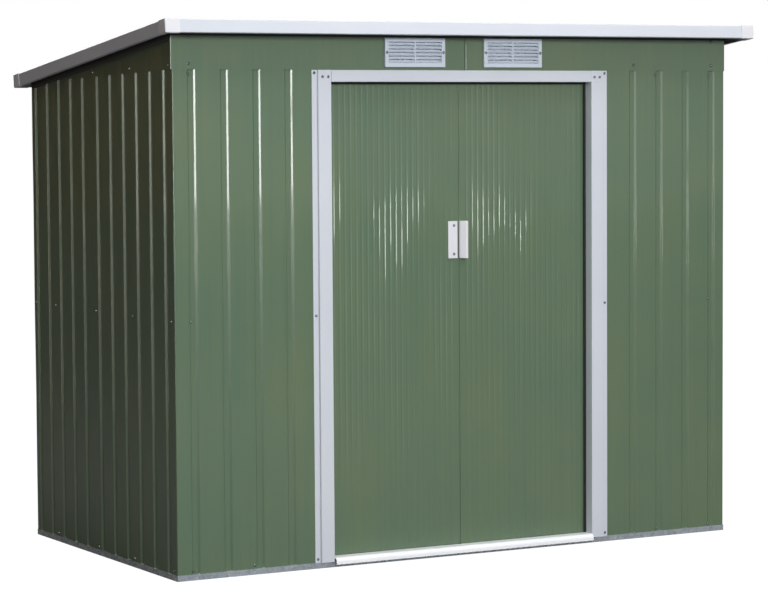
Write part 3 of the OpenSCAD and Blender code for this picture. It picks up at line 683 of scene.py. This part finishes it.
# EPDM rubber: near black and matt
RUBBER = moulded("epdm_rubber", "#1d1f1f", "#262828", 0.72, 0.00001)
SHADE_STRIP_SHOWS, SHADE_STRIP_LAP, SHADE_STRIP_FOOT = 0.006, 0.001, 0.014
jamb_low, jamb_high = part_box("door_jamb_right")
head_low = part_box("door_frame_head")[0]
front, back = jamb_high.y - 0.0005, WALL_Y + 0.0328
foot = jamb_low.z + SHADE_STRIP_FOOT
inner, outer = jamb_low.x - SHADE_STRIP_SHOWS, jamb_low.x + SHADE_STRIP_LAP
shade_strips = [((inner, front, foot), (outer, back, head_low.z)),
         ((-outer, front, foot), (-inner, back, head_low.z)),
         ((-outer, front, head_low.z - SHADE_STRIP_SHOWS), (outer, back, head_low.z + SHADE_STRIP_LAP))]
shade_strip = blocks("door_shade_strip", shade_strips, 0.0008, RUBBER)
fix(shade_strip, "shed", None)      # the record has no finish for rubber

# ---- Sliding doors --------------------------------------------------------------------------------
# Two leaves of the green sheet with fine upright ribs, stiffened by a channel round the back. Each
# hangs from the upper track on two hangers, and two tongues below it run between the lower ribs.
DOOR_GROOVE = {"Mouth": 0.0090, "Bottom": 0.0030, "Bend radius": 0.006, "Corner radius": 0.0012}
RIB_PITCH, DOOR_EDGE = 0.020, 0.016
# the ribs' depth wanders along a leaf, so that they catch the light in patches; each leaf has its own
RIB_DEPTH = {"left": 0.00082, "right": 0.00092}
RIB_SEED = {"left": 50, "right": 54}
DOOR_RAIL, DOOR_STILE = 0.040, 0.012               # channels round the back of a leaf
DOOR_DEEP = 0.020
DOOR_Y = WALL_Y + 0.034
DOOR_BASE, DOOR_TOP = 0.028, 1.519
RUNNER_W = 0.04                                    # width of a hanger and of a tongue
RUNNER_LEFT, RUNNER_RIGHT = 0.070, 0.110           # from a leaf's left and right edge to their left side
door_low, door_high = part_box("door_left")
door_w = door_high.x - door_low.x
ribs = int((door_w - 2 * DOOR_EDGE) / RIB_PITCH)
track_y = DOOR_Y + DOOR_DEEP / 2
for hand in ("left", "right"):
    x0, x1 = (corner.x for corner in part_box(f"door_{hand}"))
    leaf = pressed(f"door_{hand}_leaf", axes((1, 0, 0), (0, 1, 0), (x0, DOOR_Y, DOOR_BASE)), {
        **DOOR_GROOVE, "Depth": RIB_DEPTH[hand], "Width": door_w, "Height": DOOR_TOP - DOOR_BASE,
        "Grooves": ribs, "Pitch": RIB_PITCH, "First groove": (door_w - (ribs - 1) * RIB_PITCH) / 2,
        "Start depth": 0.008, "End depth": 0.008, "Ripple": 0.0, "Uneven depth": 2.4,
        "Row spacing": 0.04, "Column spacing": 0.02, "Seed": RIB_SEED[hand]})
    front, back = DOOR_Y + SHEET, DOOR_Y + DOOR_DEEP
    rails = [((x0 + 0.006, front + 0.003, z), (x1 - 0.006, back, z + DOOR_RAIL))
             for z in (DOOR_BASE, DOOR_TOP - DOOR_RAIL)]
    stiles = [((x, front, DOOR_BASE), (x + DOOR_STILE, back, DOOR_TOP)) for x in (x0, x1 - DOOR_STILE)]
    runners = []
    for x in (x0 + RUNNER_LEFT, x1 - RUNNER_RIGHT):
        # a hanger's web, the foot that it rides on, and the tongue between the lower ribs
        for half, low_z, high_z in ((0.003, DOOR_TOP - 0.002, DOOR_TOP + 0.0173),
                                    (0.011, DOOR_TOP + 0.0143, DOOR_TOP + 0.0233),
                                    (0.0035, 0.0055, DOOR_BASE + 0.002)):
            runners.append(((x, track_y - half, low_z), (x + RUNNER_W, track_y + half, high_z)))
    fix(leaf, f"{hand}_door", "green_paint", f"door_{hand}")
    carcass = blocks(f"door_{hand}_channels", rails + stiles, 0.001, GREEN)
    fix(carcass, f"{hand}_door", "green_paint", f"door_{hand}")
    hangers = blocks(f"door_{hand}_hangers", runners, 0.0008, ZINC)
    fix(hangers, f"{hand}_door", "galvanised")

# a narrow lip on the left leaf closes most of the gap between the two
lip_x0, lip_x1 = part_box("door_left")[1].x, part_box("door_right")[0].x
closing = blocks("door_meeting_lip", [((lip_x0 - 0.001, DOOR_Y + 0.0012, DOOR_BASE + 0.004),
                                       (lip_x1 - 0.0008, DOOR_Y + 0.0026, DOOR_TOP - 0.004))], 0.0004, GREEN)
fix(closing, "left_door", "green_paint")

# ---- Handles --------------------------------------------------------------------------------------
# A flat strike plate on the left door and a raised pull on the right one, both moulded in white
# plastic and held by two small screws.

# white ABS, moulded: an even white, low gloss
WHITE_PLASTIC = moulded("moulded_white_plastic", "#d3d4da", "#d9dadf", 0.40, 0.00002)
low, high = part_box("handle_plate")
plate = blocks("handle_plate_moulded", [(low, high)], 0.0013, WHITE_PLASTIC)
fix(plate, "left_door", "white_plastic", "handle_plate")
low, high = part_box("handle_pull")
PULL_FOOT, PULL_FLAT = 0.008, 0.0025       # width and thickness of the pull's flat foot
half_way = low.x + 0.45 * (high.x - low.x)
toe = high.x - PULL_FOOT
outline = [(low.x, high.y), (low.x, high.y - 0.006), (low.x + 0.002, high.y - 0.010), (half_way, low.y),
           (toe, low.y), (toe, high.y - PULL_FLAT), (high.x, high.y - PULL_FLAT), (high.x, high.y)]
made = bmesh.new()
end = made.faces.new([made.verts.new((x, y, low.z)) for x, y in outline])
run = bmesh.ops.extrude_face_region(made, geom=[end])["geom"]
moved = [v for v in run if isinstance(v, bmesh.types.BMVert)]
bmesh.ops.translate(made, vec=(0, 0, high.z - low.z), verts=moved)
bmesh.ops.recalc_face_normals(made, faces=made.faces)
pull = cast("handle_pull_moulded", made, WHITE_PLASTIC)
modify(pull, "BEVEL", width=0.0011, segments=3)
settle(pull)
fix(pull, "right_door", "white_plastic", "handle_pull")

# ---- Roof -----------------------------------------------------------------------------------------
# Three ribbed green sheets on the sloping wall tops and the middle beam, edged with white enamelled
# channels. The front edge is the high one; rain runs to the back.
SLOPE = math.radians(6.9)
TRIM_H, TRIM_METAL, TRIM_BEND = 0.040, 0.0012, 0.003
TRIM_TOP, TRIM_LIP, TRIM_BACK_LIP = 0.022, 0.014, 0.004
CAP_METAL, FIT = 0.0018, 0.0003
ROOF_RIB, ROOF_EDGE = 0.006, 0.05
roof_low, roof_high = cad_box
cap_h = TRIM_H + FIT + CAP_METAL
roof_w = roof_high.x - roof_low.x
roof_len = ((roof_high.y - roof_low.y) - (cap_h + CAP_METAL) * math.sin(SLOPE)) / math.cos(SLOPE)
roof_at = Vector((0, roof_low.y + CAP_METAL * math.sin(SLOPE), roof_high.z - cap_h * math.cos(SLOPE)))
ROOF = Matrix.Translation(roof_at) @ Matrix.Rotation(-SLOPE, 4, "X")     # x along the eaves, y down the slope
inset = CAP_METAL + 0.0002                     # trims lie this far inside the caps
trim_x = roof_w / 2 - inset
sheet_x = trim_x - TRIM_METAL - FIT
deck = TRIM_H - TRIM_METAL - FIT - ROOF_RIB - SHEET
sheet_w = 2 * sheet_x / 3
roof_n = int((sheet_w - 0.070) / 0.118) + 1
roof_pitch = (sheet_w - 2 * ROOF_EDGE) / (roof_n - 1)
eave = roof_len - inset - TRIM_METAL - FIT
verge = inset + TRIM_METAL + FIT
for i, part in enumerate(("left", "middle", "right")):
    gap = SEAM if i else 0
    place = ROOF @ axes((1, 0, 0), (0, 0, 1), (-sheet_x + i * sheet_w + gap, eave, deck))
    sheet = pressed(f"roof_sheet_{part}_pressed", place, {
        "Width": sheet_w - gap, "Height": eave - verge, "Grooves": roof_n, "First groove": ROOF_EDGE - gap,
        "Pitch": roof_pitch, "Depth": ROOF_RIB, "Start reach": -LAP if i else 0.0,
        "Start depth": SHEET * 1.2 if i else 0.0, "Seed": 90 + i})
    fix(sheet, "shed", "green_paint", f"roof_sheet_{part}")

# black foam strips close the joint between the walls and the roof, and show below the trims as the dark
# shadow line there: partly a real closure, partly painted shade
SHADE_FOAM, SHADE_FOAM_SHOWS = 0.0030, 0.0075
TOUCH = 0.0001         # a strip stands this far off the sheet
board_low, board_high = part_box("header_board_left")
strip = [((board_low.x + 0.001, board_low.y - SHADE_FOAM, board_high.z - 0.0275),
          (-board_low.x - 0.001, board_low.y - TOUCH, board_high.z - 0.003))]
fix(blocks("roof_shade_foam_front", strip, 0.0006, RUBBER), "shed", None)
wall_side = WALL_X + SHEET
runs = [sorted((out * (wall_side + TOUCH), out * (wall_side + SHADE_FOAM))) for hand, out in HANDS]
strips = [((x0, 0.092, -SHADE_FOAM_SHOWS), (x1, roof_len - 0.020, deck - 0.002)) for x0, x1 in runs]
side_shade_foam = blocks("roof_shade_foam_sides", strips, 0.0006, RUBBER)
side_shade_foam.data.transform(ROOF)
fix(side_shade_foam, "shed", None)


def trim_line(lip):
    """A trim's section: a flat top, the face, and a lip below that turns in under the roof."""
    return [(TRIM_TOP, TRIM_H), (0, TRIM_H), (0, 0), (lip, 0)]


front_run = 2 * (trim_x - TRIM_TOP - 0.001)
side_run = roof_len - 2 * inset
TRIMS = {
    "front": (TRIM_LIP, front_run, (0, 1, 0), (-front_run / 2, inset, 0)),
    "back": (TRIM_BACK_LIP, front_run, (0, -1, 0), (front_run / 2, roof_len - inset, 0)),
    "left": (TRIM_LIP, side_run, (1, 0, 0), (-trim_x, roof_len - inset, 0)),
    "right": (TRIM_LIP, side_run, (-1, 0, 0), (trim_x, inset, 0)),
}
for side, (lip, run, inward, at) in TRIMS.items():
    trim = folded(f"roof_trim_{side}_folded", trim_line(lip), run, ROOF @ axes(inward, (0, 0, 1), at),
                  TRIM_METAL, TRIM_BEND, WHITE)
    fix(trim, "shed", "white_paint", f"roof_trim_{side}")

# ---- Corner caps ----------------------------------------------------------------------------------
# Moulded white plastic caps that slip over the trims at the four roof corners and hide their ends.
CAP_LEG, CAP_LIP, CAP_ROUND = 0.048, 0.014, 0.0035


def corner_cap(name, place):
    """Two walls, a top and a narrow lip below, round the corner at the piece's own origin."""
    made = bmesh.new()
    bar(made, (0, 0, -CAP_METAL), (CAP_LEG, CAP_LEG, cap_h))
    outer = [e for e in made.edges
             if all(v.co.x < 0.001 for v in e.verts) or all(v.co.y < 0.001 for v in e.verts)]
    outer = [e for e in outer if not any(abs(e.verts[0].co[i] - e.verts[1].co[i]) < 1e-6
                                         and e.verts[0].co[i] > CAP_LEG - 0.001 for i in (0, 1))]
    bmesh.ops.bevel(made, geom=outer, offset=CAP_ROUND, segments=4, profile=0.5, affect="EDGES")
    for i in (0, 1):
        normal = [0, 0, 0]
        normal[i] = 1
        bmesh.ops.bisect_plane(made, geom=made.verts[:] + made.edges[:] + made.faces[:],
                               plane_co=[CAP_LIP * n for n in normal], plane_no=normal)
    gone = [f for f in made.faces if f.normal.x > 0.9 or f.normal.y > 0.9 or
            (f.normal.z < -0.9 and all(c > CAP_LIP for c in f.calc_center_median()[:2]))]
    bmesh.ops.delete(made, geom=gone, context="FACES")
    obj = cast(name, made, WHITE_PLASTIC)
    modify(obj, "SOLIDIFY", thickness=CAP_METAL, offset=-1)
    return settle(obj, place)


corners = (("front_left", -1, 0), ("front_right", 1, 0),
           ("back_right", 1, roof_len), ("back_left", -1, roof_len))
for turn, (name, out, y) in enumerate(corners):
    place = Matrix.Translation((out * roof_w / 2, y, 0)) @ Matrix.Rotation(turn * math.pi / 2, 4, "Z")
    cap = corner_cap(f"corner_cap_{name}_moulded", ROOF @ place)
    fix(cap, "shed", "white_plastic", f"corner_cap_{name}")

# ---- Screws ---------------------------------------------------------------------------------------
# Zinc-plated pan-head screws with a cross recess, each on a dark rubber washer, hold the sheets to the
# rails and to each other. Smaller ones with thin washers hold the door frame, vents and handles.
HEAD_R, HEAD_H = 0.0036, 0.0020
WASHER_R, WASHER_H = 0.0044, 0.0008
# zinc plate on steel: a darker grey and a finer grain than the dipped rails
PLATE = galvanised("zinc_plated_screw", "#8b9094", "#c3c8cb", 0.002, 0.25, 1.0)


def screw_tree():
    """A screw on every point, standing along the point's own direction."""
    tree, size = new_tree("screw setter", {
        "Points": "Geometry", "Head radius": HEAD_R, "Head height": HEAD_H, "Washer radius": WASHER_R,
        "Washer height": WASHER_H, "Recess": 0.0011, "Head material": "Material",
        "Washer material": "Material"}, "Screws")
    ball = add(tree, "GeometryNodeMeshUVSphere", {"Segments": 20, "Rings": 10, "Radius": size["Head radius"]})
    flat = add(tree, MATH, (size["Head height"], size["Head radius"]), operation="DIVIDE")
    head = add(tree, "GeometryNodeTransform", {"Geometry": ball.outputs["Mesh"],
                                               "Scale": add(tree, "ShaderNodeCombineXYZ", (1.0, 1.0, flat))})
    arm = add(tree, MATH, (size["Head radius"], 1.15), operation="MULTIPLY")
    deep = add(tree, MATH, (size["Head height"], 1.1), operation="MULTIPLY")
    lift = add(tree, "ShaderNodeCombineXYZ", (0.0, 0.0, size["Head height"]))
    for bar in ((arm, size["Recess"], deep), (size["Recess"], arm, deep)):
        slot = add(tree, "GeometryNodeMeshCube", {"Size": add(tree, "ShaderNodeCombineXYZ", bar)})
        slot = add(tree, "GeometryNodeTransform", {"Geometry": slot.outputs["Mesh"], "Translation": lift})
        head = add(tree, "GeometryNodeMeshBoolean", {"Mesh 1": head, "Mesh 2": slot}, operation="DIFFERENCE",
                   solver="EXACT")
    raised = add(tree, "ShaderNodeCombineXYZ", (0.0, 0.0, size["Washer height"]))
    head = add(tree, "GeometryNodeTransform", {"Geometry": head.outputs["Mesh"], "Translation": raised})
    head = add(tree, "GeometryNodeSetMaterial", {"Geometry": head, "Material": size["Head material"]})
    washer = add(tree, "GeometryNodeMeshCylinder", {"Vertices": 20, "Radius": size["Washer radius"],
                                                    "Depth": size["Washer height"]})
    half = add(tree, MATH, (size["Washer height"], 0.5), operation="MULTIPLY")
    lifted = add(tree, "ShaderNodeCombineXYZ", (0.0, 0.0, half))
    washer = add(tree, "GeometryNodeTransform", {"Geometry": washer.outputs["Mesh"], "Translation": lifted})
    washer = add(tree, "GeometryNodeSetMaterial", {"Geometry": washer, "Material": size["Washer material"]})
    both = add(tree, "GeometryNodeJoinGeometry")
    tree.links.new(head.outputs[0], both.inputs[0])
    tree.links.new(washer.outputs[0], both.inputs[0])
    facing = add(tree, "GeometryNodeInputNamedAttribute", {"Name": "facing"}, data_type="FLOAT_VECTOR")
    turned = add(tree, "FunctionNodeRandomValue", {"Min": 0.0, "Max": math.pi, "Seed": 5}, data_type="FLOAT")
    spin = add(tree, "FunctionNodeAxisAngleToRotation", {"Axis": (0.0, 0.0, 1.0), "Angle": turned})
    stand = add(tree, "FunctionNodeAlignRotationToVector", {"Vector": facing.outputs["Attribute"]}, axis="Z")
    rotation = add(tree, "FunctionNodeRotateRotation", {"Rotation": stand, "Rotate By": spin},
                   rotation_space="LOCAL")
    screws = add(tree, "GeometryNodeInstanceOnPoints", {"Points": size["Points"], "Instance": both,
                                                        "Rotation": rotation})
    screws = add(tree, "GeometryNodeRealizeInstances", {"Geometry": screws})
    add(tree, "NodeGroupOutput", {"Screws": screws})
    return tree


SCREWS = screw_tree()


def fasten(name, spots, body, slot, **sizes):
    """Sets fasteners at spots, each a place and the direction its head faces."""
    obj = new_piece(name)
    obj.data.from_pydata([Vector(at) for at, out in spots], [], [])
    facing = obj.data.attributes.new("facing", "FLOAT_VECTOR", "POINT")
    for item, (at, out) in zip(facing.data, spots):
        item.vector = out
    feed(obj, SCREWS, {"Head material": PLATE, "Washer material": RUBBER,
                       **{k.replace("_", " "): v for k, v in sizes.items()}})
    settle(obj)
    fix(obj, body, slot)


FRONT, BACK, LEFT, RIGHT = (0, -1, 0), (0, 1, 0), (-1, 0, 0), (1, 0, 0)
LOW_Z, MID_Z, HIGH_Z = 0.029, 0.783, 1.522     # base rail, mid rail and header
spots = []
for x in (-WALL_X + 0.052, WALL_X - 0.063):
    spots += [((x, WALL_Y, z), FRONT) for z in (LOW_Z, MID_Z, HIGH_Z)]
spots += [((x, WALL_Y, LOW_Z), FRONT) for x in (-0.747, 0.733)]
spots += [((0.729, WALL_Y, HIGH_Z), FRONT)]
board_y, board_top = board_low.y, board_high.z
spots += [((x, board_y, header_z + 0.018), FRONT) for x in (-0.952, 0.644, 0.952)]
spots += [((x, board_y, board_top - 0.033), FRONT) for x in (-0.952, 0.952)]
for out, face in ((-1, LEFT), (1, RIGHT)):
    for y in (WALL_Y + 0.025, WALL_Y + 0.3115, seam_y - 0.026, seam_y + 0.31, wall_back - 0.021):
        spots += [((out * WALL_X, y, z), face) for z in (LOW_Z, MID_Z)]
        spots += [((out * (WALL_X + SHEET), y, header_z - (y - WALL_Y) * fall + 0.014), face)]
for i in range(3):
    for x in (WALL_X - i * back_w - 0.022, WALL_X - (i + 0.5) * back_w, WALL_X - (i + 1) * back_w + 0.022):
        spots += [((x, wall_back, z), BACK) for z in (LOW_Z, MID_Z, back_high.z - 0.03)]
fasten("wall_screws", spots, "shed", "galvanised")

jamb_low, jamb_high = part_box("door_jamb_left")
lip_x = abs(jamb_low.x) - JAMB_LIP / 2
spots = [((s * lip_x, WALL_Y - JAMB_METAL, z), FRONT) for s in (-1, 1) for z in (LOW_Z, MID_Z, 1.527)]
spots += [((s * x, WALL_Y - JAMB_OUT, 1.515), FRONT) for s in (-1, 1) for x in (0.486, 0.506)]
for hand in ("left", "right"):
    low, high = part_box(f"vent_{hand}")
    spots += [((x, low.y, (low.z + high.z) / 2), FRONT) for x in (low.x + 0.0065, high.x - 0.0065)]
fasten("frame_and_vent_screws", spots, "shed", "galvanised", Head_radius=0.0030, Head_height=0.0014,
       Washer_radius=0.0042, Washer_height=0.0004, Recess=0.0016)

low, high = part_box("handle_plate")
spots = [((low.x + 0.62 * (high.x - low.x), low.y, z), FRONT) for z in (low.z + 0.014, high.z - 0.014)]
fasten("handle_plate_screws", spots, "left_door", "galvanised", Head_radius=0.0034, Head_height=0.0013,
       Washer_radius=0.0046, Washer_height=0.0004, Recess=0.0016)
low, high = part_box("handle_pull")
spots = [((high.x - 0.004, high.y - PULL_FLAT, z), FRONT) for z in (low.z + 0.016, high.z - 0.016)]
fasten("handle_pull_screws", spots, "right_door", "galvanised", Head_radius=0.0026, Head_height=0.0012,
       Washer_radius=0.0027, Washer_height=0.0003)

# roof screws stand on the flats midway between ribs, near the front, at the beam and near the eave
up = ROOF.to_3x3() @ Vector((0, 0, 1))
spots = []
for i in range(3):
    for k in range(roof_n - 1):
        x = -sheet_x + i * sheet_w + ROOF_EDGE + (k + 0.5) * roof_pitch
        for y in (0.075, roof_len / 2, roof_len - 0.045):
            spots.append((ROOF @ Vector((x, y, deck + SHEET)), up))
fasten("roof_screws", spots, "shed", "galvanised")

# ---- Studio ---------------------------------------------------------------------------------------
# A pale floor, soft lights all round, and a camera at eye height to the front left. The light in front
# is the strongest, and the left side is kept dark.


def softbox(name, at, look, size, power, colour="#ffffff"):
    """A rectangular soft light that faces the point it looks at."""
    lamp = bpy.data.lights.new(name, "AREA")
    lamp.shape = "RECTANGLE"
    lamp.size, lamp.size_y = size
    lamp.energy = power
    lamp.color = linear(colour)[:3]
    obj = bpy.data.objects.new(name, lamp)
    bpy.context.scene.collection.objects.link(obj)
    aim = (Vector(look) - Vector(at)).to_track_quat("-Z", "Y")
    obj.matrix_world = Matrix.Translation(at) @ aim.to_matrix().to_4x4()
    return obj


key = softbox("key", (-0.9, -6.2, 2.6), (0.0, -0.5, 1.0), (3.0, 0.8), 234)
key.visible_glossy = False
softbox("overhead", (0.3, -1.5, 4.6), (0.3, -0.6, 0.0), (2.8, 2.4), 90)
softbox("left", (-4.2, 0.4, 5.0), (-1.0, 0.0, 0.8), (1.6, 1.6), 9, "#fff4e6")
softbox("right", (5.0, 0.9, 2.6), (1.0, 0.3, 0.8), (2.0, 1.6), 45)
softbox("behind", (0.8, 5.6, 2.8), (0.3, 0.6, 0.8), (2.6, 1.6), 70)
# lights that only the gloss catches: strips for the bends that face left, and low ones for the doors' ribs
for name, at, size, power, colour in (("strip", (-5.4, -2.85, 2.1), (1.0, 2.2), 150, "#ffffff"),
                                      ("far strip", (-5.4, -4.9, 1.8), (0.9, 2.2), 16, "#ffffff"),
                                      ("side strip", (-5.2, 0.9, 1.3), (0.34, 2.6), 36, "#fff0d4"),
                                      ("rib glow", (-0.9, -7.4, 0.9), (2.2, 1.5), 5, "#ffffff"),
                                      ("spark", (-1.05, -6.4, 0.78), (0.70, 0.42), 24, "#ffffff")):
    softbox(name, at, (-0.4, -0.5, at[2]), size, power, colour).visible_diffuse = False

# the studio is dark to the left and behind, dim to the right and above, and pale in front
world = bpy.data.worlds.new("studio")
world.use_nodes = True
bpy.context.scene.world = world
tree = world.node_tree
tree.nodes.clear()
way = add(tree, "ShaderNodeTexCoord").outputs["Generated"]
PALE_WAY = (0.15, -0.93, 0.33)         # the studio is palest this way
toward = add(tree, "ShaderNodeVectorMath", (way, PALE_WAY), operation="DOT_PRODUCT")
level = add(tree, "ShaderNodeMapRange", {"Value": toward, "From Min": -0.12, "From Max": 1.0})
# dark drapes hang in folds, brown and olive in turn
side = add(tree, "ShaderNodeSeparateXYZ", (way,)).outputs
round_about = add(tree, MATH, (side["Y"], side["X"]), operation="ARCTAN2")
folds = add(tree, "ShaderNodeTexNoise", {"W": round_about, "Scale": 26.0, "Detail": 0.0},
            noise_dimensions="1D")
folds = add(tree, "ShaderNodeMapRange", {"Value": folds, "From Min": 0.47, "From Max": 0.60})
drape = add(tree, "ShaderNodeMix", {"Factor": folds, "A": linear("#11150f"), "B": linear("#6b4e34")},
            data_type="RGBA")
pale = add(tree, "ShaderNodeMix", {"Factor": level, "A": drape, "B": (0.62, 0.62, 0.62, 1.0)},
           data_type="RGBA")
seen = add(tree, "ShaderNodeLightPath").outputs["Is Camera Ray"]
shown = add(tree, "ShaderNodeMix", {"Factor": seen, "A": pale, "B": linear("#ffffff")}, data_type="RGBA")
sky = add(tree, "ShaderNodeBackground", {"Color": shown, "Strength": 1.0})
add(tree, "ShaderNodeOutputWorld", {"Surface": sky.outputs["Background"]})

made = bmesh.new()
bmesh.ops.create_grid(made, x_segments=4, y_segments=4, size=30)
floor = cast("studio_floor", made)
floor.data.transform(Matrix.Translation((0, 0, -0.0005)))
pale_floor, tree, shader = new_material("pale_studio_floor")
tree.nodes.remove(shader)
seen = add(tree, "ShaderNodeLightPath").outputs["Is Camera Ray"]
dim = add(tree, "ShaderNodeBsdfDiffuse", {"Color": (0.21, 0.21, 0.21, 1.0)})
matt = add(tree, "ShaderNodeBsdfDiffuse", {"Color": (0.8, 0.8, 0.8, 1.0)})
glow = add(tree, "ShaderNodeEmission", {"Color": (1.0, 1.0, 1.0, 1.0), "Strength": 1.12})
lit = add(tree, "ShaderNodeMixShader", (0.88, matt, glow))
both = add(tree, "ShaderNodeMixShader", (seen, dim, lit))
tree.links.new(both.outputs["Shader"], tree.nodes["Material Output"].inputs["Surface"])
floor.data.materials.append(pale_floor)

# the camera stands well back and to the left, and looks slightly down
EYE = Vector((-4.4345, WALL_Y - 7.4735, 1.3876))
YAW, PITCH, ROLL = math.radians(29.007), math.radians(-3.782), math.radians(-0.369)
lens = bpy.data.cameras.new("camera")
lens.sensor_width = 36
lens.lens = 129.02
lens.clip_end = 200
camera = bpy.data.objects.new("camera", lens)
bpy.context.scene.collection.objects.link(camera)
ahead = Vector((math.sin(YAW) * math.cos(PITCH), math.cos(YAW) * math.cos(PITCH), math.sin(PITCH)))
across = Vector((math.cos(YAW), -math.sin(YAW), 0))
upward = across.cross(ahead)
right = math.cos(ROLL) * across + math.sin(ROLL) * upward
top = -math.sin(ROLL) * across + math.cos(ROLL) * upward
camera.matrix_world = Matrix([[right[i], top[i], -ahead[i], EYE[i]] for i in range(3)] + [[0, 0, 0, 1]])
bpy.context.scene.camera = camera
bpy.context.scene.view_settings.view_transform = "Standard"
